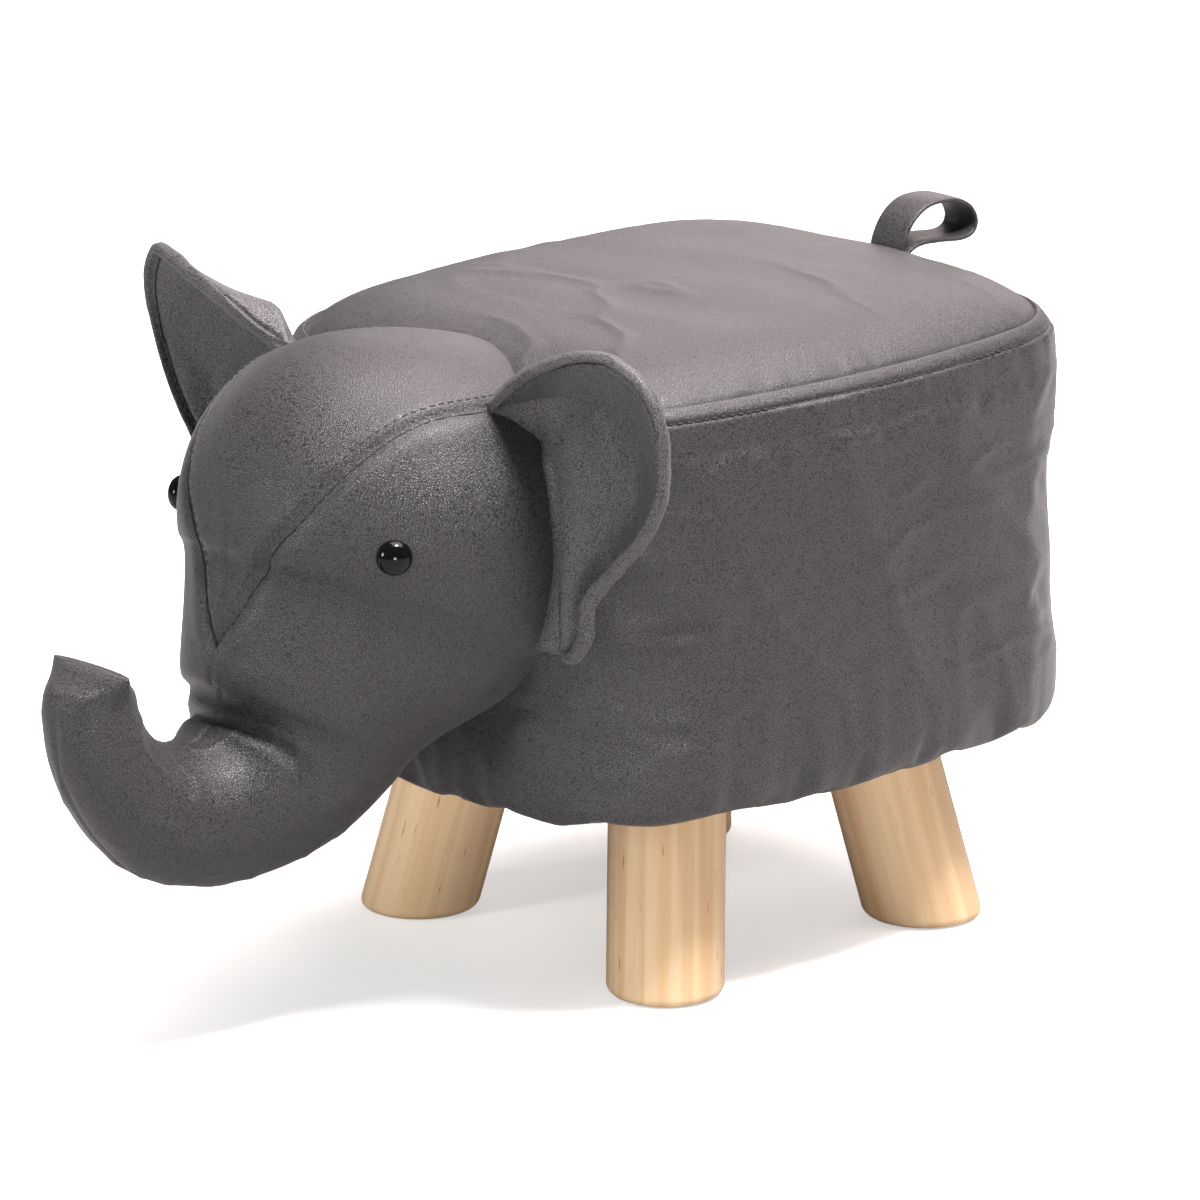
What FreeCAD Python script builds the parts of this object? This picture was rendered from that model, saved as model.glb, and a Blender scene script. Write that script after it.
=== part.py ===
import FreeCAD, Part
import itertools
import math
import os

import Sketcher
from FreeCAD import Placement, Rotation, Vector

# Elephant footstool: a low upholstered seat on four splayed pine legs, with a stuffed head, curled trunk
# and two ears sewn to its front and a strap loop for a tail.
# Millimetres, +Z up, head towards -Y, the animal's left side towards +X.
# The origin lies on the floor, under the middle of the whole length.

SIZES = (
    # Seat cover
    ("seat_back", 82, "seat centre behind the origin"),
    ("seat_length", 286, "top seam, front to rear"),
    ("seat_width", 240, "top seam, side to side"),
    ("seat_corner", 55, "top seam, corner radius"),
    ("side_bow", 500, "radius of the slightly bowed sides"),
    ("seam_height", 264, "top seam above the floor"),
    ("crown_height", 18, "padded top above its seam"),
    ("shoulder_radius", 8, "cover rolling over below the top seam"),
    ("hem_height", 88, "underside of the cover above the floor"),
    ("hem_radius", 8, "cover rolling under at the bottom"),
    ("lining_bevel", 6, "foam corners under the rolled cover"),
    ("cover_thickness", 1.2, "coated fabric"),
    ("dust_thickness", 0.6, "cloth under the seat"),
    # Frame
    ("frame_width", 212, "hardboard wall, side to side"),
    ("frame_length", 256, "hardboard wall, front to rear"),
    ("frame_cut", 30, "wall corners cut off"),
    ("wall_thickness", 3, "hardboard wall"),
    ("base_thickness", 15, "plywood base board"),
    ("top_thickness", 12, "plywood top board"),
    ("seat_foam", 36, "foam from the top board to the seam"),
    ("post_side", 30, "square post"),
    ("post_spread_x", 140, "posts, side to side"),
    ("post_spread_y", 184, "posts, front to rear"),
    ("frame_staple_width", 12, "staple through a board into a post"),
    ("frame_staple_wire", 1.6, "staple through a board into a post"),
    ("frame_staple_depth", 38, "staple through a board into a post"),
    ("hem_inset", 12, "edge of the turned-under cover in from the wall"),
    ("dust_inset", 5, "edge of the dust cloth in from the wall"),
    ("hem_staple_inset", 7.5, "staples in from the wall"),
    ("hem_staple_width", 10, "staple through dust cloth and cover"),
    ("hem_staple_wire", 1, "staple through dust cloth and cover"),
    ("hem_staple_depth", 9.8, "staple through dust cloth and cover into the base board"),
    # Legs
    ("leg_diameter", 50, "turned pine leg"),
    ("leg_splay", 15, "lean of a leg, degrees"),
    ("foot_spread_x", 157, "feet, side to side"),
    ("foot_spread_y", 153, "feet, front to rear"),
    ("leg_hole", 62, "square hole in the dust cloth round a leg"),
    ("bolt_diameter", 8, "hanger bolt"),
    ("bolt_in_leg", 32, "hanger bolt screwed into the leg"),
    ("bolt_end", 3, "hanger bolt beyond its nut"),
    ("nut_flats", 13, "nut across its flats"),
    ("nut_height", 6.5, "nut on the base board"),
    # Head and trunk
    ("head_diameter", 150, "ball of the head"),
    ("cheek_width", 184, "head where it meets the seat, side to side"),
    ("cheek_back", 26, "widest part of the head behind its middle"),
    ("head_ahead", 31, "head centre ahead of the front seam"),
    ("head_height", 211, "head centre above the floor"),
    ("curl_radius", 58.5, "trunk centre line"),
    ("curl_ahead", 119, "centre of the trunk's curl ahead of the front seam"),
    ("curl_height", 160, "centre of the trunk's curl above the floor"),
    ("curl_start", 24, "turn of the centre line where the trunk leaves the head, degrees"),
    ("curl_crease", 66, "turn of the centre line at the fold behind the trunk, degrees"),
    ("curl_end", 183, "turn of the centre line near the tip, degrees"),
    ("trunk_root", 106, "trunk where it leaves the head"),
    ("trunk_tip", 37, "trunk near its tip"),
    ("lip_width", 50, "flattened end seam"),
    ("lip_depth", 8, "flattened end, front to rear"),
    ("lip_rise", 11, "flattened end beyond the last round section"),
    # Forehead panel
    ("brow_tilt", 50, "panel faces up from straight ahead, degrees"),
    ("brow_tip", 72, "panel point below the head centre, along the panel"),
    ("brow_shoulder", 46, "widest place above the head centre, along the panel"),
    ("brow_width", 102, "panel at its widest"),
    ("brow_bow", 118, "radius of the panel's side seams"),
    ("nape_width", 84, "panel where it meets the seat"),
    # Eyes
    ("eye_diameter", 15, "safety eye"),
    ("eye_dome", 5.2, "eye above the fabric"),
    ("eye_sunk", 0.6, "eye pressed into the fabric"),
    ("eye_rim", 1.2, "bevelled rim"),
    ("eye_turn", 58, "eye round from straight ahead, degrees"),
    ("eye_rise", 2, "eye above the level of the head centre, degrees"),
    ("shank_diameter", 4.5, "eye shank"),
    ("shank_length", 14, "eye shank behind the fabric"),
    ("washer_diameter", 18, "washer behind the fabric"),
    ("washer_thickness", 2, "washer behind the fabric"),
    # Ears
    ("ear_out", 95, "fold line from the middle"),
    ("ear_ahead", 6, "fold line ahead of the front seam"),
    ("ear_height", 212, "middle of the fold line above the floor"),
    ("ear_base", 100, "fold line length"),
    ("ear_top_reach", 58, "upper corner out from the fold line"),
    ("ear_top_rise", 78, "upper corner above the middle of the fold line"),
    ("ear_top_bow", 120, "radius of the upper edge"),
    ("ear_low_reach", 32, "lower corner out from the fold line"),
    ("ear_low_drop", 42, "lower corner below the middle of the fold line"),
    ("ear_rim_bow", 95, "radius of the outer rim"),
    ("ear_top_round", 16, "upper corner radius"),
    ("ear_low_round", 30, "lower corner radius"),
    ("ear_cup", 140, "radius of the cupped sheet"),
    ("ear_cup_lean", 25, "axis of the cup leaning in at its top, degrees"),
    ("ear_layer", 1.5, "one of the two sewn layers"),
    ("ear_roll", 4.2, "rolled seam along the fold line"),
    ("ear_front_trim", 4.5, "front layer cut back from the fold line"),
    ("ear_root", 40, "sewn-in strip reaching into the head"),
    ("left_ear_sweep", -12, "left ear turned forward, degrees"),
    ("right_ear_sweep", -18, "right ear turned forward, degrees"),
    ("left_ear_lift", 0, "left ear turned up in its own plane, degrees"),
    ("right_ear_lift", 4, "right ear turned up in its own plane, degrees"),
    # Tail
    ("tail_width", 20, "strap"),
    ("tail_strap", 2.6, "strap thickness"),
    ("tail_rise", 10, "middle of the loop above its root"),
    ("tail_loop", 26, "loop, centre to centre of its bends"),
    ("tail_bend", 6.5, "bend radius of the strap's middle"),
    ("tail_lean", 6, "loop drooping rearwards, degrees"),
    ("tail_inset", 8, "root in from the rear seam"),
    ("tail_height", 11.7, "root above the top seam"),
    # Clearances
    ("fold_gap", 0.3, "between pieces that move against each other"),
)

# Heights and plan offsets that several pieces share, as expressions on the sheet.
INNER_TOP = "(dims.seam_height - dims.cover_thickness)"
INNER_BOTTOM = "(dims.hem_height + dims.cover_thickness)"
BASE_TOP = f"({INNER_BOTTOM} + dims.base_thickness)"
TOP_BOARD_TOP = f"({INNER_TOP} - dims.seat_foam)"
TOP_BOARD_BOTTOM = f"({TOP_BOARD_TOP} - dims.top_thickness)"
COVER_GROW = "dims.shoulder_radius"
LINING_GROW = f"({COVER_GROW} - dims.cover_thickness)"
HEAD_AHEAD = "(dims.seat_length / 2 + dims.head_ahead)"
CURL_AHEAD = "(dims.seat_length / 2 + dims.curl_ahead)"
EAR_AHEAD = "(dims.seat_length / 2 + dims.ear_ahead)"
REACH = "(2 * dims.seat_length)"

# Bands of the padded top from its seam inwards: share of the crown height, share of the half width.
CROWN_BANDS = ((0.45, 0.07), (0.33, 0.12), (0.22, 0.2))
PADDING_BANDS = ((1.0, 0.39),)
# Flat bands that stand for a quarter turn of the rolled cover.
ROLL_BANDS = 2
# Where the ball of the head is cut into loft sections, as shares of its radius from crown to jaw.
BALL_SHARES = (-0.975, -0.86, -0.64, -0.34, 0.0, 0.28, 0.53)
CHEEK_SHARES = (1, 1, 1, 1, 1, 0.85, 0.45)
TRUNK_SECTIONS = 8
# Flats round the head and trunk, a multiple of four so that the middle seam runs along edges.
HEAD_SIDES = 16
EYE_SIDES = 16
# Where the dome of an eye is cut into rings, in degrees up from its rim.
EYE_RINGS = (25, 50, 75)
# Below 1 the trunk thins faster near the head than near its tip.
TAPER_POWER = 0.85
LEG_CORNERS = {
    "front_left": (1, -1),
    "front_right": (-1, -1),
    "rear_left": (1, 1),
    "rear_right": (-1, 1),
}
SIDES = {"left": 1, "right": -1}

doc = FreeCAD.newDocument("elephant_stool")
dims = doc.addObject("Spreadsheet::Sheet", "dims")
for row, (alias, number, meaning) in enumerate(SIZES, start=1):
    dims.set(f"A{row}", meaning)
    dims.set(f"B{row}", str(number))
    dims.setAlias(f"B{row}", alias)
doc.recompute()


# Helpers for sizes, places, sketches and booleans


def value(expression):
    """Number that an expression on the sheet comes to."""
    return float(dims.evalExpression(expression))


def bind(item, sizes):
    """Tie properties of an object to expressions on the sheet."""
    for name, expression in sizes.items():
        item.setExpression(name, expression)
    return item


def place(item, x="0", y="0", z="0", yaw="0", pitch="0", roll="0"):
    """Place an object by expressions, measured from the seat centre on the floor."""
    turn = f"rotation({yaw}; {pitch}; {roll})"
    return bind(item, {"Placement": f"placement(vector({x}; dims.seat_back + ({y}); {z}); {turn})"})


def primitive(kind, label, sizes):
    """Part primitive with its sizes tied to the sheet."""
    return bind(doc.addObject(f"Part::{kind}", label), sizes)


def cut(label, base, *tools):
    """One solid less one or more others, taken away in turn."""
    for step, tool in enumerate(tools, start=1):
        result = doc.addObject("Part::Cut", label if step == len(tools) else f"{label}_cut_{step}")
        result.Base = base
        result.Tool = tool
        base = result
    return base


def common(label, first, second):
    """What two solids share."""
    result = doc.addObject("Part::Common", label)
    result.Base = first
    result.Tool = second
    return result


def fuse(label, *pieces):
    """Several solids made one."""
    result = doc.addObject("Part::MultiFuse", label)
    result.Shapes = list(pieces)
    return result


def group(label, pieces):
    """Separate solids kept together."""
    result = doc.addObject("Part::Compound", label)
    result.Links = list(pieces)
    return result


def new_body(label):
    """Empty body standing at the seat centre."""
    return place(doc.addObject("PartDesign::Body", label))


def new_sketch(body, name, role, offset="0"):
    """Empty sketch on one of the body's own planes, moved along that plane's normal."""
    sketch = body.newObject("Sketcher::SketchObject", name)
    plane = next(item for item in body.Origin.OriginFeatures if item.Role == role)
    sketch.AttachmentSupport = (plane, [""])
    sketch.MapMode = "FlatFace"
    return bind(sketch, {"AttachmentOffset.Base.z": offset})


def dimension(sketch, kind, where, expression):
    """Driving dimension tied to the sheet; a negative distance is measured the other way."""
    number = value(expression)
    if kind != "Radius" and number < 0:
        where = where[2:] + where[:2]
        expression = f"-({expression})"
    index = sketch.addConstraint(Sketcher.Constraint(kind, *where, abs(number)))
    name = f"size_{index}"
    sketch.renameConstraint(index, name)
    sketch.setExpression(f"Constraints.{name}", expression)


def fix_point(sketch, edge, point, x, y):
    """Hold a sketch point at a place given by two expressions."""
    for kind, axis, expression in (("DistanceX", -2, x), ("DistanceY", -1, y)):
        if abs(value(expression)) < 1e-9:
            sketch.addConstraint(Sketcher.Constraint("PointOnObject", edge, point, axis))
        else:
            dimension(sketch, kind, (-1, 1, edge, point), expression)


def arc_between(start, end, radius):
    """Arc turning to the left from one point to another."""
    chord = end - start
    rise = math.sqrt(radius**2 - (chord.Length / 2) ** 2)
    centre = (start + end) / 2 + Vector(-chord.y, chord.x, 0).normalize() * rise
    first = math.atan2(start.y - centre.y, start.x - centre.x)
    last = math.atan2(end.y - centre.y, end.x - centre.x)
    return Part.ArcOfCircle(Part.Circle(centre, Vector(0, 0, 1), radius), first, last)


def outline_sketch(body, name, role, corners, offset="0"):
    """Closed outline through corners given anticlockwise.

    A corner is a pair of expressions; a third expression is the radius of the arc that starts there.
    """
    sketch = new_sketch(body, name, role, offset)
    points = [Vector(value(corner[0]), value(corner[1]), 0) for corner in corners]
    for index, corner in enumerate(corners):
        start = points[index]
        end = points[(index + 1) % len(points)]
        if len(corner) == 3:
            sketch.addGeometry(arc_between(start, end, value(corner[2])))
        else:
            sketch.addGeometry(Part.LineSegment(start, end))
    for index, corner in enumerate(corners):
        following = (index + 1) % len(corners)
        sketch.addConstraint(Sketcher.Constraint("Coincident", index, 2, following, 1))
        fix_point(sketch, index, 1, corner[0], corner[1])
        if len(corner) == 3:
            dimension(sketch, "Radius", (index,), corner[2])
    return sketch


def plan_arcs(grow):
    """The seat's plan outline as eight arcs: centre, radius, first and last angle."""
    half_width = value("dims.seat_width / 2")
    half_length = value("dims.seat_length / 2")
    bow = value("dims.side_bow")
    corner = value("dims.seat_corner")
    side = Vector(half_width - bow, 0, 0)
    end = Vector(0, half_length - bow, 0)
    chord = end - side
    rise = math.sqrt((bow - corner) ** 2 - (chord.Length / 2) ** 2)
    middle = (side + end) / 2 + Vector(-chord.y, chord.x, 0).normalize() * rise
    turn_in = math.atan2(middle.y - side.y, middle.x - side.x)
    turn_out = math.atan2(middle.y - end.y, middle.x - end.x)
    half_turn = math.pi
    arcs = (
        (side, bow, -turn_in, turn_in),
        (middle, corner, turn_in, turn_out),
        (end, bow, turn_out, half_turn - turn_out),
        (Vector(-middle.x, middle.y, 0), corner, half_turn - turn_out, half_turn - turn_in),
        (-side, bow, half_turn - turn_in, half_turn + turn_in),
        (-middle, corner, half_turn + turn_in, half_turn + turn_out),
        (-end, bow, half_turn + turn_out, 2 * half_turn - turn_out),
        (Vector(middle.x, -middle.y, 0), corner, 2 * half_turn - turn_out, 2 * half_turn - turn_in),
    )
    return [(centre, radius + grow, first, last) for centre, radius, first, last in arcs]


def plan_sketch(body, name, height, grow):
    """The seat's plan outline on a level plane, grown outwards."""
    sketch = new_sketch(body, name, "XY_Plane", height)
    arcs = plan_arcs(value(grow))
    for centre, radius, first, last in arcs:
        sketch.addGeometry(Part.ArcOfCircle(Part.Circle(centre, Vector(0, 0, 1), radius), first, last))
    for index in range(len(arcs)):
        sketch.addConstraint(Sketcher.Constraint("Tangent", index, 2, (index + 1) % len(arcs), 1))
    across = "(dims.side_bow - dims.seat_width / 2)"
    along = "(dims.side_bow - dims.seat_length / 2)"
    for index, axis, kind, distance in (
        (0, -1, "DistanceX", f"-{across}"),
        (4, -1, "DistanceX", across),
        (2, -2, "DistanceY", f"-{along}"),
        (6, -2, "DistanceY", along),
    ):
        sketch.addConstraint(Sketcher.Constraint("PointOnObject", index, 3, axis))
        dimension(sketch, kind, (-1, 1, index, 3), distance)
    dimension(sketch, "Radius", (0,), f"dims.side_bow + {grow}")
    dimension(sketch, "Radius", (1,), f"dims.seat_corner + {grow}")
    for index in range(2, len(arcs)):
        sketch.addConstraint(Sketcher.Constraint("Equal", index % 2, index))
    return sketch


def pad(body, sketch, name, length, symmetric=False):
    """Pad of a sketch along its normal."""
    feature = body.newObject("PartDesign::Pad", name)
    feature.Profile = sketch
    feature.SideType = "Symmetric" if symmetric else "One side"
    return bind(feature, {"Length": length})


def round_edges(body, feature, name, radius, wanted):
    """Fillet of the edges whose middle passes a test."""
    doc.recompute()
    edges = [f"Edge{index}" for index, edge in enumerate(feature.Shape.Edges, 1) if wanted(edge)]
    fillet = body.newObject("PartDesign::Fillet", name)
    fillet.Base = (feature, edges)
    return bind(fillet, {"Radius": radius})


def level(height):
    """Test for edges that lie at one height."""
    return lambda edge: edge.BoundBox.ZLength < 1e-3 and abs(edge.CenterOfMass.z - height) < 1e-3


def centred_on(spot):
    """Test for edges whose middle lies at one point."""
    return lambda edge: (edge.CenterOfMass - spot).Length < 1e-3


def slab(label, bottom, top, grow):
    """Level slab with the seat's outline, between two heights."""
    body = new_body(label)
    sketch = plan_sketch(body, f"{label}_outline", bottom, grow)
    pad(body, sketch, f"{label}_pad", f"{top} - {bottom}")
    return body


def block(label, low, lengths, roll="0"):
    """Plain block used as a cutter, from its low corner."""
    box = primitive("Box", label, dict(zip(("Length", "Width", "Height"), lengths)))
    return place(box, *low, roll=roll)


# Frame


def frame_slab(label, bottom, top, inset):
    """Level slab with the frame's cut-cornered outline, drawn in by an inset."""
    body = new_body(label)
    x = f"(dims.frame_width / 2 - {inset})"
    y = f"(dims.frame_length / 2 - {inset})"
    corner = f"(dims.frame_cut - {inset} * (2 - sqrt(2)))"
    corners = (
        (x, f"-({y} - {corner})"),
        (x, f"{y} - {corner}"),
        (f"{x} - {corner}", y),
        (f"-({x} - {corner})", y),
        (f"-{x}", f"{y} - {corner}"),
        (f"-{x}", f"-({y} - {corner})"),
        (f"-({x} - {corner})", f"-{y}"),
        (f"{x} - {corner}", f"-{y}"),
    )
    sketch = outline_sketch(body, f"{label}_outline", "XY_Plane", corners, bottom)
    pad(body, sketch, f"{label}_pad", f"{top} - {bottom}")
    return body


def bevel(body, label, height, profile):
    """Bevel the edge round a level face into flat bands.

    The profile runs from the wall to the face: each point lies so far inwards and so far off the face.
    """
    edge = "0"
    for step, (start, end) in enumerate(zip(profile, profile[1:]), start=1):
        inward, drop = (f"({size})" for size in start)
        next_inward, next_drop = (f"({size})" for size in end)
        reach = f"({inward} + ({next_inward} - {inward}) * {drop} / ({drop} - {next_drop}))"
        doc.recompute()
        wanted = level(value(height))
        tip = body.Tip
        band = body.newObject("PartDesign::Chamfer", f"{label}_band_{step}")
        band.Base = (tip, [f"Edge{index}" for index, item in enumerate(tip.Shape.Edges, 1) if wanted(item)])
        band.ChamferType = "Two distances"
        bind(band, {"Size": f"sqrt(({edge} - {inward}) ^ 2 + {drop} ^ 2)", "Size2": f"{reach} - {edge}"})
        edge = reach


def roll_profile(radius):
    """Quarter turn of a rolled edge as a profile of equal chords."""
    angles = [math.pi / 2 * step / ROLL_BANDS for step in range(ROLL_BANDS + 1)]
    return [(f"{radius} * {1 - math.cos(angle)}", f"{radius} * {1 - math.sin(angle)}") for angle in angles]


def crown_profile(bands):
    """Rise of the padded top from its seam as a profile of bands."""
    inward, drop = 0.0, 1.0
    profile = []
    for rise, width in ((0.0, 0.0), *bands):
        inward += width
        drop -= rise
        profile.append((f"dims.seat_width / 2 * {inward}", f"dims.crown_height * {round(drop, 6)}"))
    return profile


def rounded_slab(label, bottom, top, grow, upper, lower):
    """Slab with the seat's outline whose upper and lower edges follow a profile each."""
    body = slab(label, bottom, top, grow)
    bevel(body, f"{label}_shoulder", top, upper)
    bevel(body, f"{label}_hem", bottom, lower)
    return body


def crown(label, bottom, base, grow, bands):
    """Padded top that rises from its seam, carried down as a plain wall."""
    top = f"{base} + dims.crown_height"
    body = slab(label, bottom, top, grow)
    bevel(body, label, top, crown_profile(bands))
    return body


def staple(label, kind):
    """Staple of one kind standing on its crown, legs up."""
    body = new_body(label)
    wire = f"dims.{kind}_staple_wire"
    depth = f"dims.{kind}_staple_depth"
    half = f"(dims.{kind}_staple_width / 2)"
    inside = f"({half} - {wire})"
    corners = (
        (f"-{half}", f"-{wire}"),
        (half, f"-{wire}"),
        (half, depth),
        (inside, depth),
        (inside, "0"),
        (f"-{inside}", "0"),
        (f"-{inside}", depth),
        (f"-{half}", depth),
    )
    sketch = outline_sketch(body, f"{label}_profile", "YZ_Plane", corners)
    pad(body, sketch, f"{label}_pad", wire, symmetric=True)
    return body


def hem_staples():
    """One staple in the middle of each stretch of the frame's outline."""
    x = "(dims.frame_width / 2 - dims.hem_staple_inset)"
    y = "(dims.frame_length / 2 - dims.hem_staple_inset)"
    corner = "(dims.frame_cut - dims.hem_staple_inset * (2 - sqrt(2)))"
    staples = []
    for across, along in itertools.product((-1, 0, 1), repeat=2):
        if (across, along) == (0, 0):
            continue
        inset = f"{abs(across * along)} * {corner} / 2"
        item = staple(f"hem_staple_{len(staples) + 1}", "hem")
        yaw = str(math.degrees(math.atan2(along, across)))
        spot = (f"{across} * ({x} - {inset})", f"{along} * ({y} - {inset})")
        staples.append(place(item, *spot, "dims.hem_height - dims.dust_thickness", yaw=yaw))
    return staples


def hex_nut(label, x, y):
    """Nut on the hanger bolt, seated on the base board."""
    body = new_body(label)
    across_corners = "dims.nut_flats / sqrt(3)"
    turns = range(0, 360, 60)
    corners = [(f"{across_corners} * cos({turn})", f"{across_corners} * sin({turn})") for turn in turns]
    sketch = outline_sketch(body, f"{label}_outline", "XY_Plane", corners)
    bore = sketch.addGeometry(Part.Circle(Vector(), Vector(0, 0, 1), value("dims.bolt_diameter / 2")))
    sketch.addConstraint(Sketcher.Constraint("Coincident", bore, 3, -1, 1))
    dimension(sketch, "Radius", (bore,), "dims.bolt_diameter / 2")
    pad(body, sketch, f"{label}_pad", "dims.nut_height")
    return place(body, x, y, BASE_TOP)


def post_place(across, along):
    """Plan place of a post's middle, from the seat centre."""
    return f"{across} * dims.post_spread_x / 2", f"{along} * dims.post_spread_y / 2"


def leg_place(across, along, height):
    """Plan place of a leg's axis at a height, from the seat centre."""
    spread = "sqrt(dims.foot_spread_x ^ 2 + dims.foot_spread_y ^ 2)"
    share = f"(0.5 - tan(dims.leg_splay) * ({height}) / {spread})"
    return f"{across} * dims.foot_spread_x * {share}", f"{along} * dims.foot_spread_y * {share}"


def leg_blank(label, across, along):
    """Round bar along a leg's leaning axis, longer than the leg at both ends."""
    spare = "dims.leg_diameter"
    length = f"({INNER_BOTTOM} + 2 * {spare}) / cos(dims.leg_splay)"
    bar = primitive("Cylinder", label, {"Radius": "dims.leg_diameter / 2", "Height": length})
    yaw = f"atan2({along} * dims.foot_spread_y; {across} * dims.foot_spread_x)"
    x, y = leg_place(across, along, f"-{spare}")
    return place(bar, x, y, f"-{spare}", yaw=yaw, pitch="-dims.leg_splay")


def leg_bolt(label, x, y):
    """Hanger bolt from inside the leg up through the base board and its nut."""
    height = "dims.bolt_in_leg + dims.base_thickness + dims.nut_height + dims.bolt_end"
    bolt = primitive("Cylinder", label, {"Radius": "dims.bolt_diameter / 2", "Height": height})
    return place(bolt, x, y, f"{INNER_BOTTOM} - dims.bolt_in_leg")


def build_seat():
    """Frame, padding, cover and legs."""
    nodes = {}
    lining_bevel = (("0", "dims.lining_bevel"), ("dims.lining_bevel", "0"))
    lining = rounded_slab("lining", INNER_BOTTOM, INNER_TOP, LINING_GROW, lining_bevel, lining_bevel)
    rolls = (roll_profile("dims.shoulder_radius"), roll_profile("dims.hem_radius"))
    shell = rounded_slab("shell", "dims.hem_height", "dims.seam_height", COVER_GROW, *rolls)
    seam_opening = slab("seam_opening", INNER_TOP, "dims.seam_height", "0")
    hem_opening = frame_slab("hem_opening", "dims.hem_height", INNER_BOTTOM, "dims.hem_inset")
    nodes["hem_staples"] = group("hem_staples", hem_staples())
    tools = (lining, seam_opening, hem_opening, nodes["hem_staples"])
    nodes["side_panel"] = cut("side_panel", shell, *tools)

    padding_crown = crown("padding_crown", TOP_BOARD_TOP, INNER_TOP, "-dims.cover_thickness", PADDING_BANDS)
    panel_crown = crown("panel_crown", INNER_TOP, "dims.seam_height", "0", CROWN_BANDS)
    nodes["top_panel"] = cut("top_panel", panel_crown, padding_crown)

    low = f"-{REACH} / 2"
    upper = block("above_top_board", (low, low, TOP_BOARD_TOP), (REACH, REACH, REACH))
    nodes["seat_foam"] = fuse("seat_foam", common("seat_foam_block", lining, upper), padding_crown)
    wall_core = frame_slab("wall_core", INNER_BOTTOM, TOP_BOARD_TOP, "0")
    board_core = frame_slab("board_core", INNER_BOTTOM, TOP_BOARD_TOP, "dims.wall_thickness")
    nodes["side_foam"] = cut("side_foam", lining, upper, wall_core)
    nodes["wall_band"] = cut("wall_band", wall_core, board_core)

    bolts = {}
    nuts = []
    staples = []
    for name, (across, along) in LEG_CORNERS.items():
        x, y = leg_place(across, along, INNER_BOTTOM)
        bolts[name] = leg_bolt(f"{name}_bolt", x, y)
        nuts.append(hex_nut(f"{name}_nut", x, y))
        x, y = post_place(across, along)
        lower = staple(f"{name}_lower_staple", "frame")
        staples.append(place(lower, x, y, f"{INNER_BOTTOM} + dims.frame_staple_wire"))
        raised = staple(f"{name}_upper_staple", "frame")
        staples.append(place(raised, x, y, f"{TOP_BOARD_TOP} - dims.frame_staple_wire", roll="180"))
    nodes["leg_bolts"] = group("leg_bolts", bolts.values())
    nodes["leg_nuts"] = group("leg_nuts", nuts)
    nodes["frame_staples"] = group("frame_staples", staples)

    base = frame_slab("base_blank", INNER_BOTTOM, BASE_TOP, "dims.wall_thickness")
    fixings = (nodes["leg_bolts"], nodes["frame_staples"], nodes["hem_staples"])
    nodes["base_board"] = cut("base_board", base, *fixings)
    top = frame_slab("top_blank", TOP_BOARD_BOTTOM, TOP_BOARD_TOP, "dims.wall_thickness")
    nodes["top_board"] = cut("top_board", top, nodes["frame_staples"])

    trim = block("leg_trim", (low, low, "0"), (REACH, REACH, INNER_BOTTOM))
    holes = []
    for name, (across, along) in LEG_CORNERS.items():
        x, y = post_place(across, along)
        sides = ("dims.post_side", "dims.post_side", f"{TOP_BOARD_BOTTOM} - {BASE_TOP}")
        corner = (f"{x} - dims.post_side / 2", f"{y} - dims.post_side / 2", BASE_TOP)
        post = f"{name}_post"
        nodes[post] = cut(post, block(f"{post}_blank", corner, sides), nodes["frame_staples"])
        level_leg = common(f"{name}_leg_level", leg_blank(f"{name}_leg_blank", across, along), trim)
        nodes[f"{name}_leg"] = cut(f"{name}_leg", level_leg, bolts[name])
        x, y = leg_place(across, along, "dims.hem_height")
        sides = ("dims.leg_hole", "dims.leg_hole", "dims.leg_hole")
        corner = [f"{middle} - dims.leg_hole / 2" for middle in (x, y, "dims.hem_height")]
        holes.append(block(f"{name}_leg_hole", corner, sides))

    dust_bottom = "dims.hem_height - dims.dust_thickness"
    dust = frame_slab("dust_blank", dust_bottom, "dims.hem_height", "dims.dust_inset")
    nodes["dust_cover"] = cut("dust_cover", dust, group("leg_holes", holes), nodes["hem_staples"])
    return nodes


# Head and trunk


def head_stations():
    """Sections from the crown of the head to the lip of the trunk: centre, turn, half width, half depth."""
    ball = value("dims.head_diameter / 2")
    seat = value("dims.seat_back")
    start = math.radians(value("dims.curl_start"))
    finish = math.radians(value("dims.curl_end"))
    middle = Vector(0, seat - value(HEAD_AHEAD), value("dims.head_height"))
    curl = Vector(0, seat - value(CURL_AHEAD), value("dims.curl_height"))
    radius = value("dims.curl_radius")
    root = value("dims.trunk_root / 2")
    tip = value("dims.trunk_tip / 2")
    stations = []
    first, last = BALL_SHARES[0], BALL_SHARES[-1]
    for share, cheek in zip(BALL_SHARES, CHEEK_SHARES):
        turn = start * (share - first) / (last - first)
        half = ball * math.sqrt(1 - share**2)
        wider = 1 + cheek * value("dims.cheek_width / dims.head_diameter - 1")
        deeper = cheek * value("dims.cheek_back / dims.head_diameter * 2")
        centre = middle + travel(turn) * ball * share + outward(turn) * half * deeper
        stations.append((centre, turn, half * wider, half * (1 + deeper)))
    for step in range(TRUNK_SECTIONS):
        along = step / (TRUNK_SECTIONS - 1)
        turn = start + (finish - start) * along
        half = root * (tip / root) ** (along**TAPER_POWER)
        stations.append((curl + outward(turn) * radius, turn, half, half))
    lip = stations[-1][0] + travel(finish) * value("dims.lip_rise")
    stations.append((lip, finish, value("dims.lip_width / 2"), value("dims.lip_depth / 2")))
    return stations


def travel(turn):
    """Direction of the centre line after turning from straight down towards the front."""
    return Vector(0, -math.sin(turn), -math.cos(turn))


def outward(turn):
    """Direction from the middle of the curl to the centre line."""
    return Vector(0, math.cos(turn), -math.sin(turn))


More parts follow.
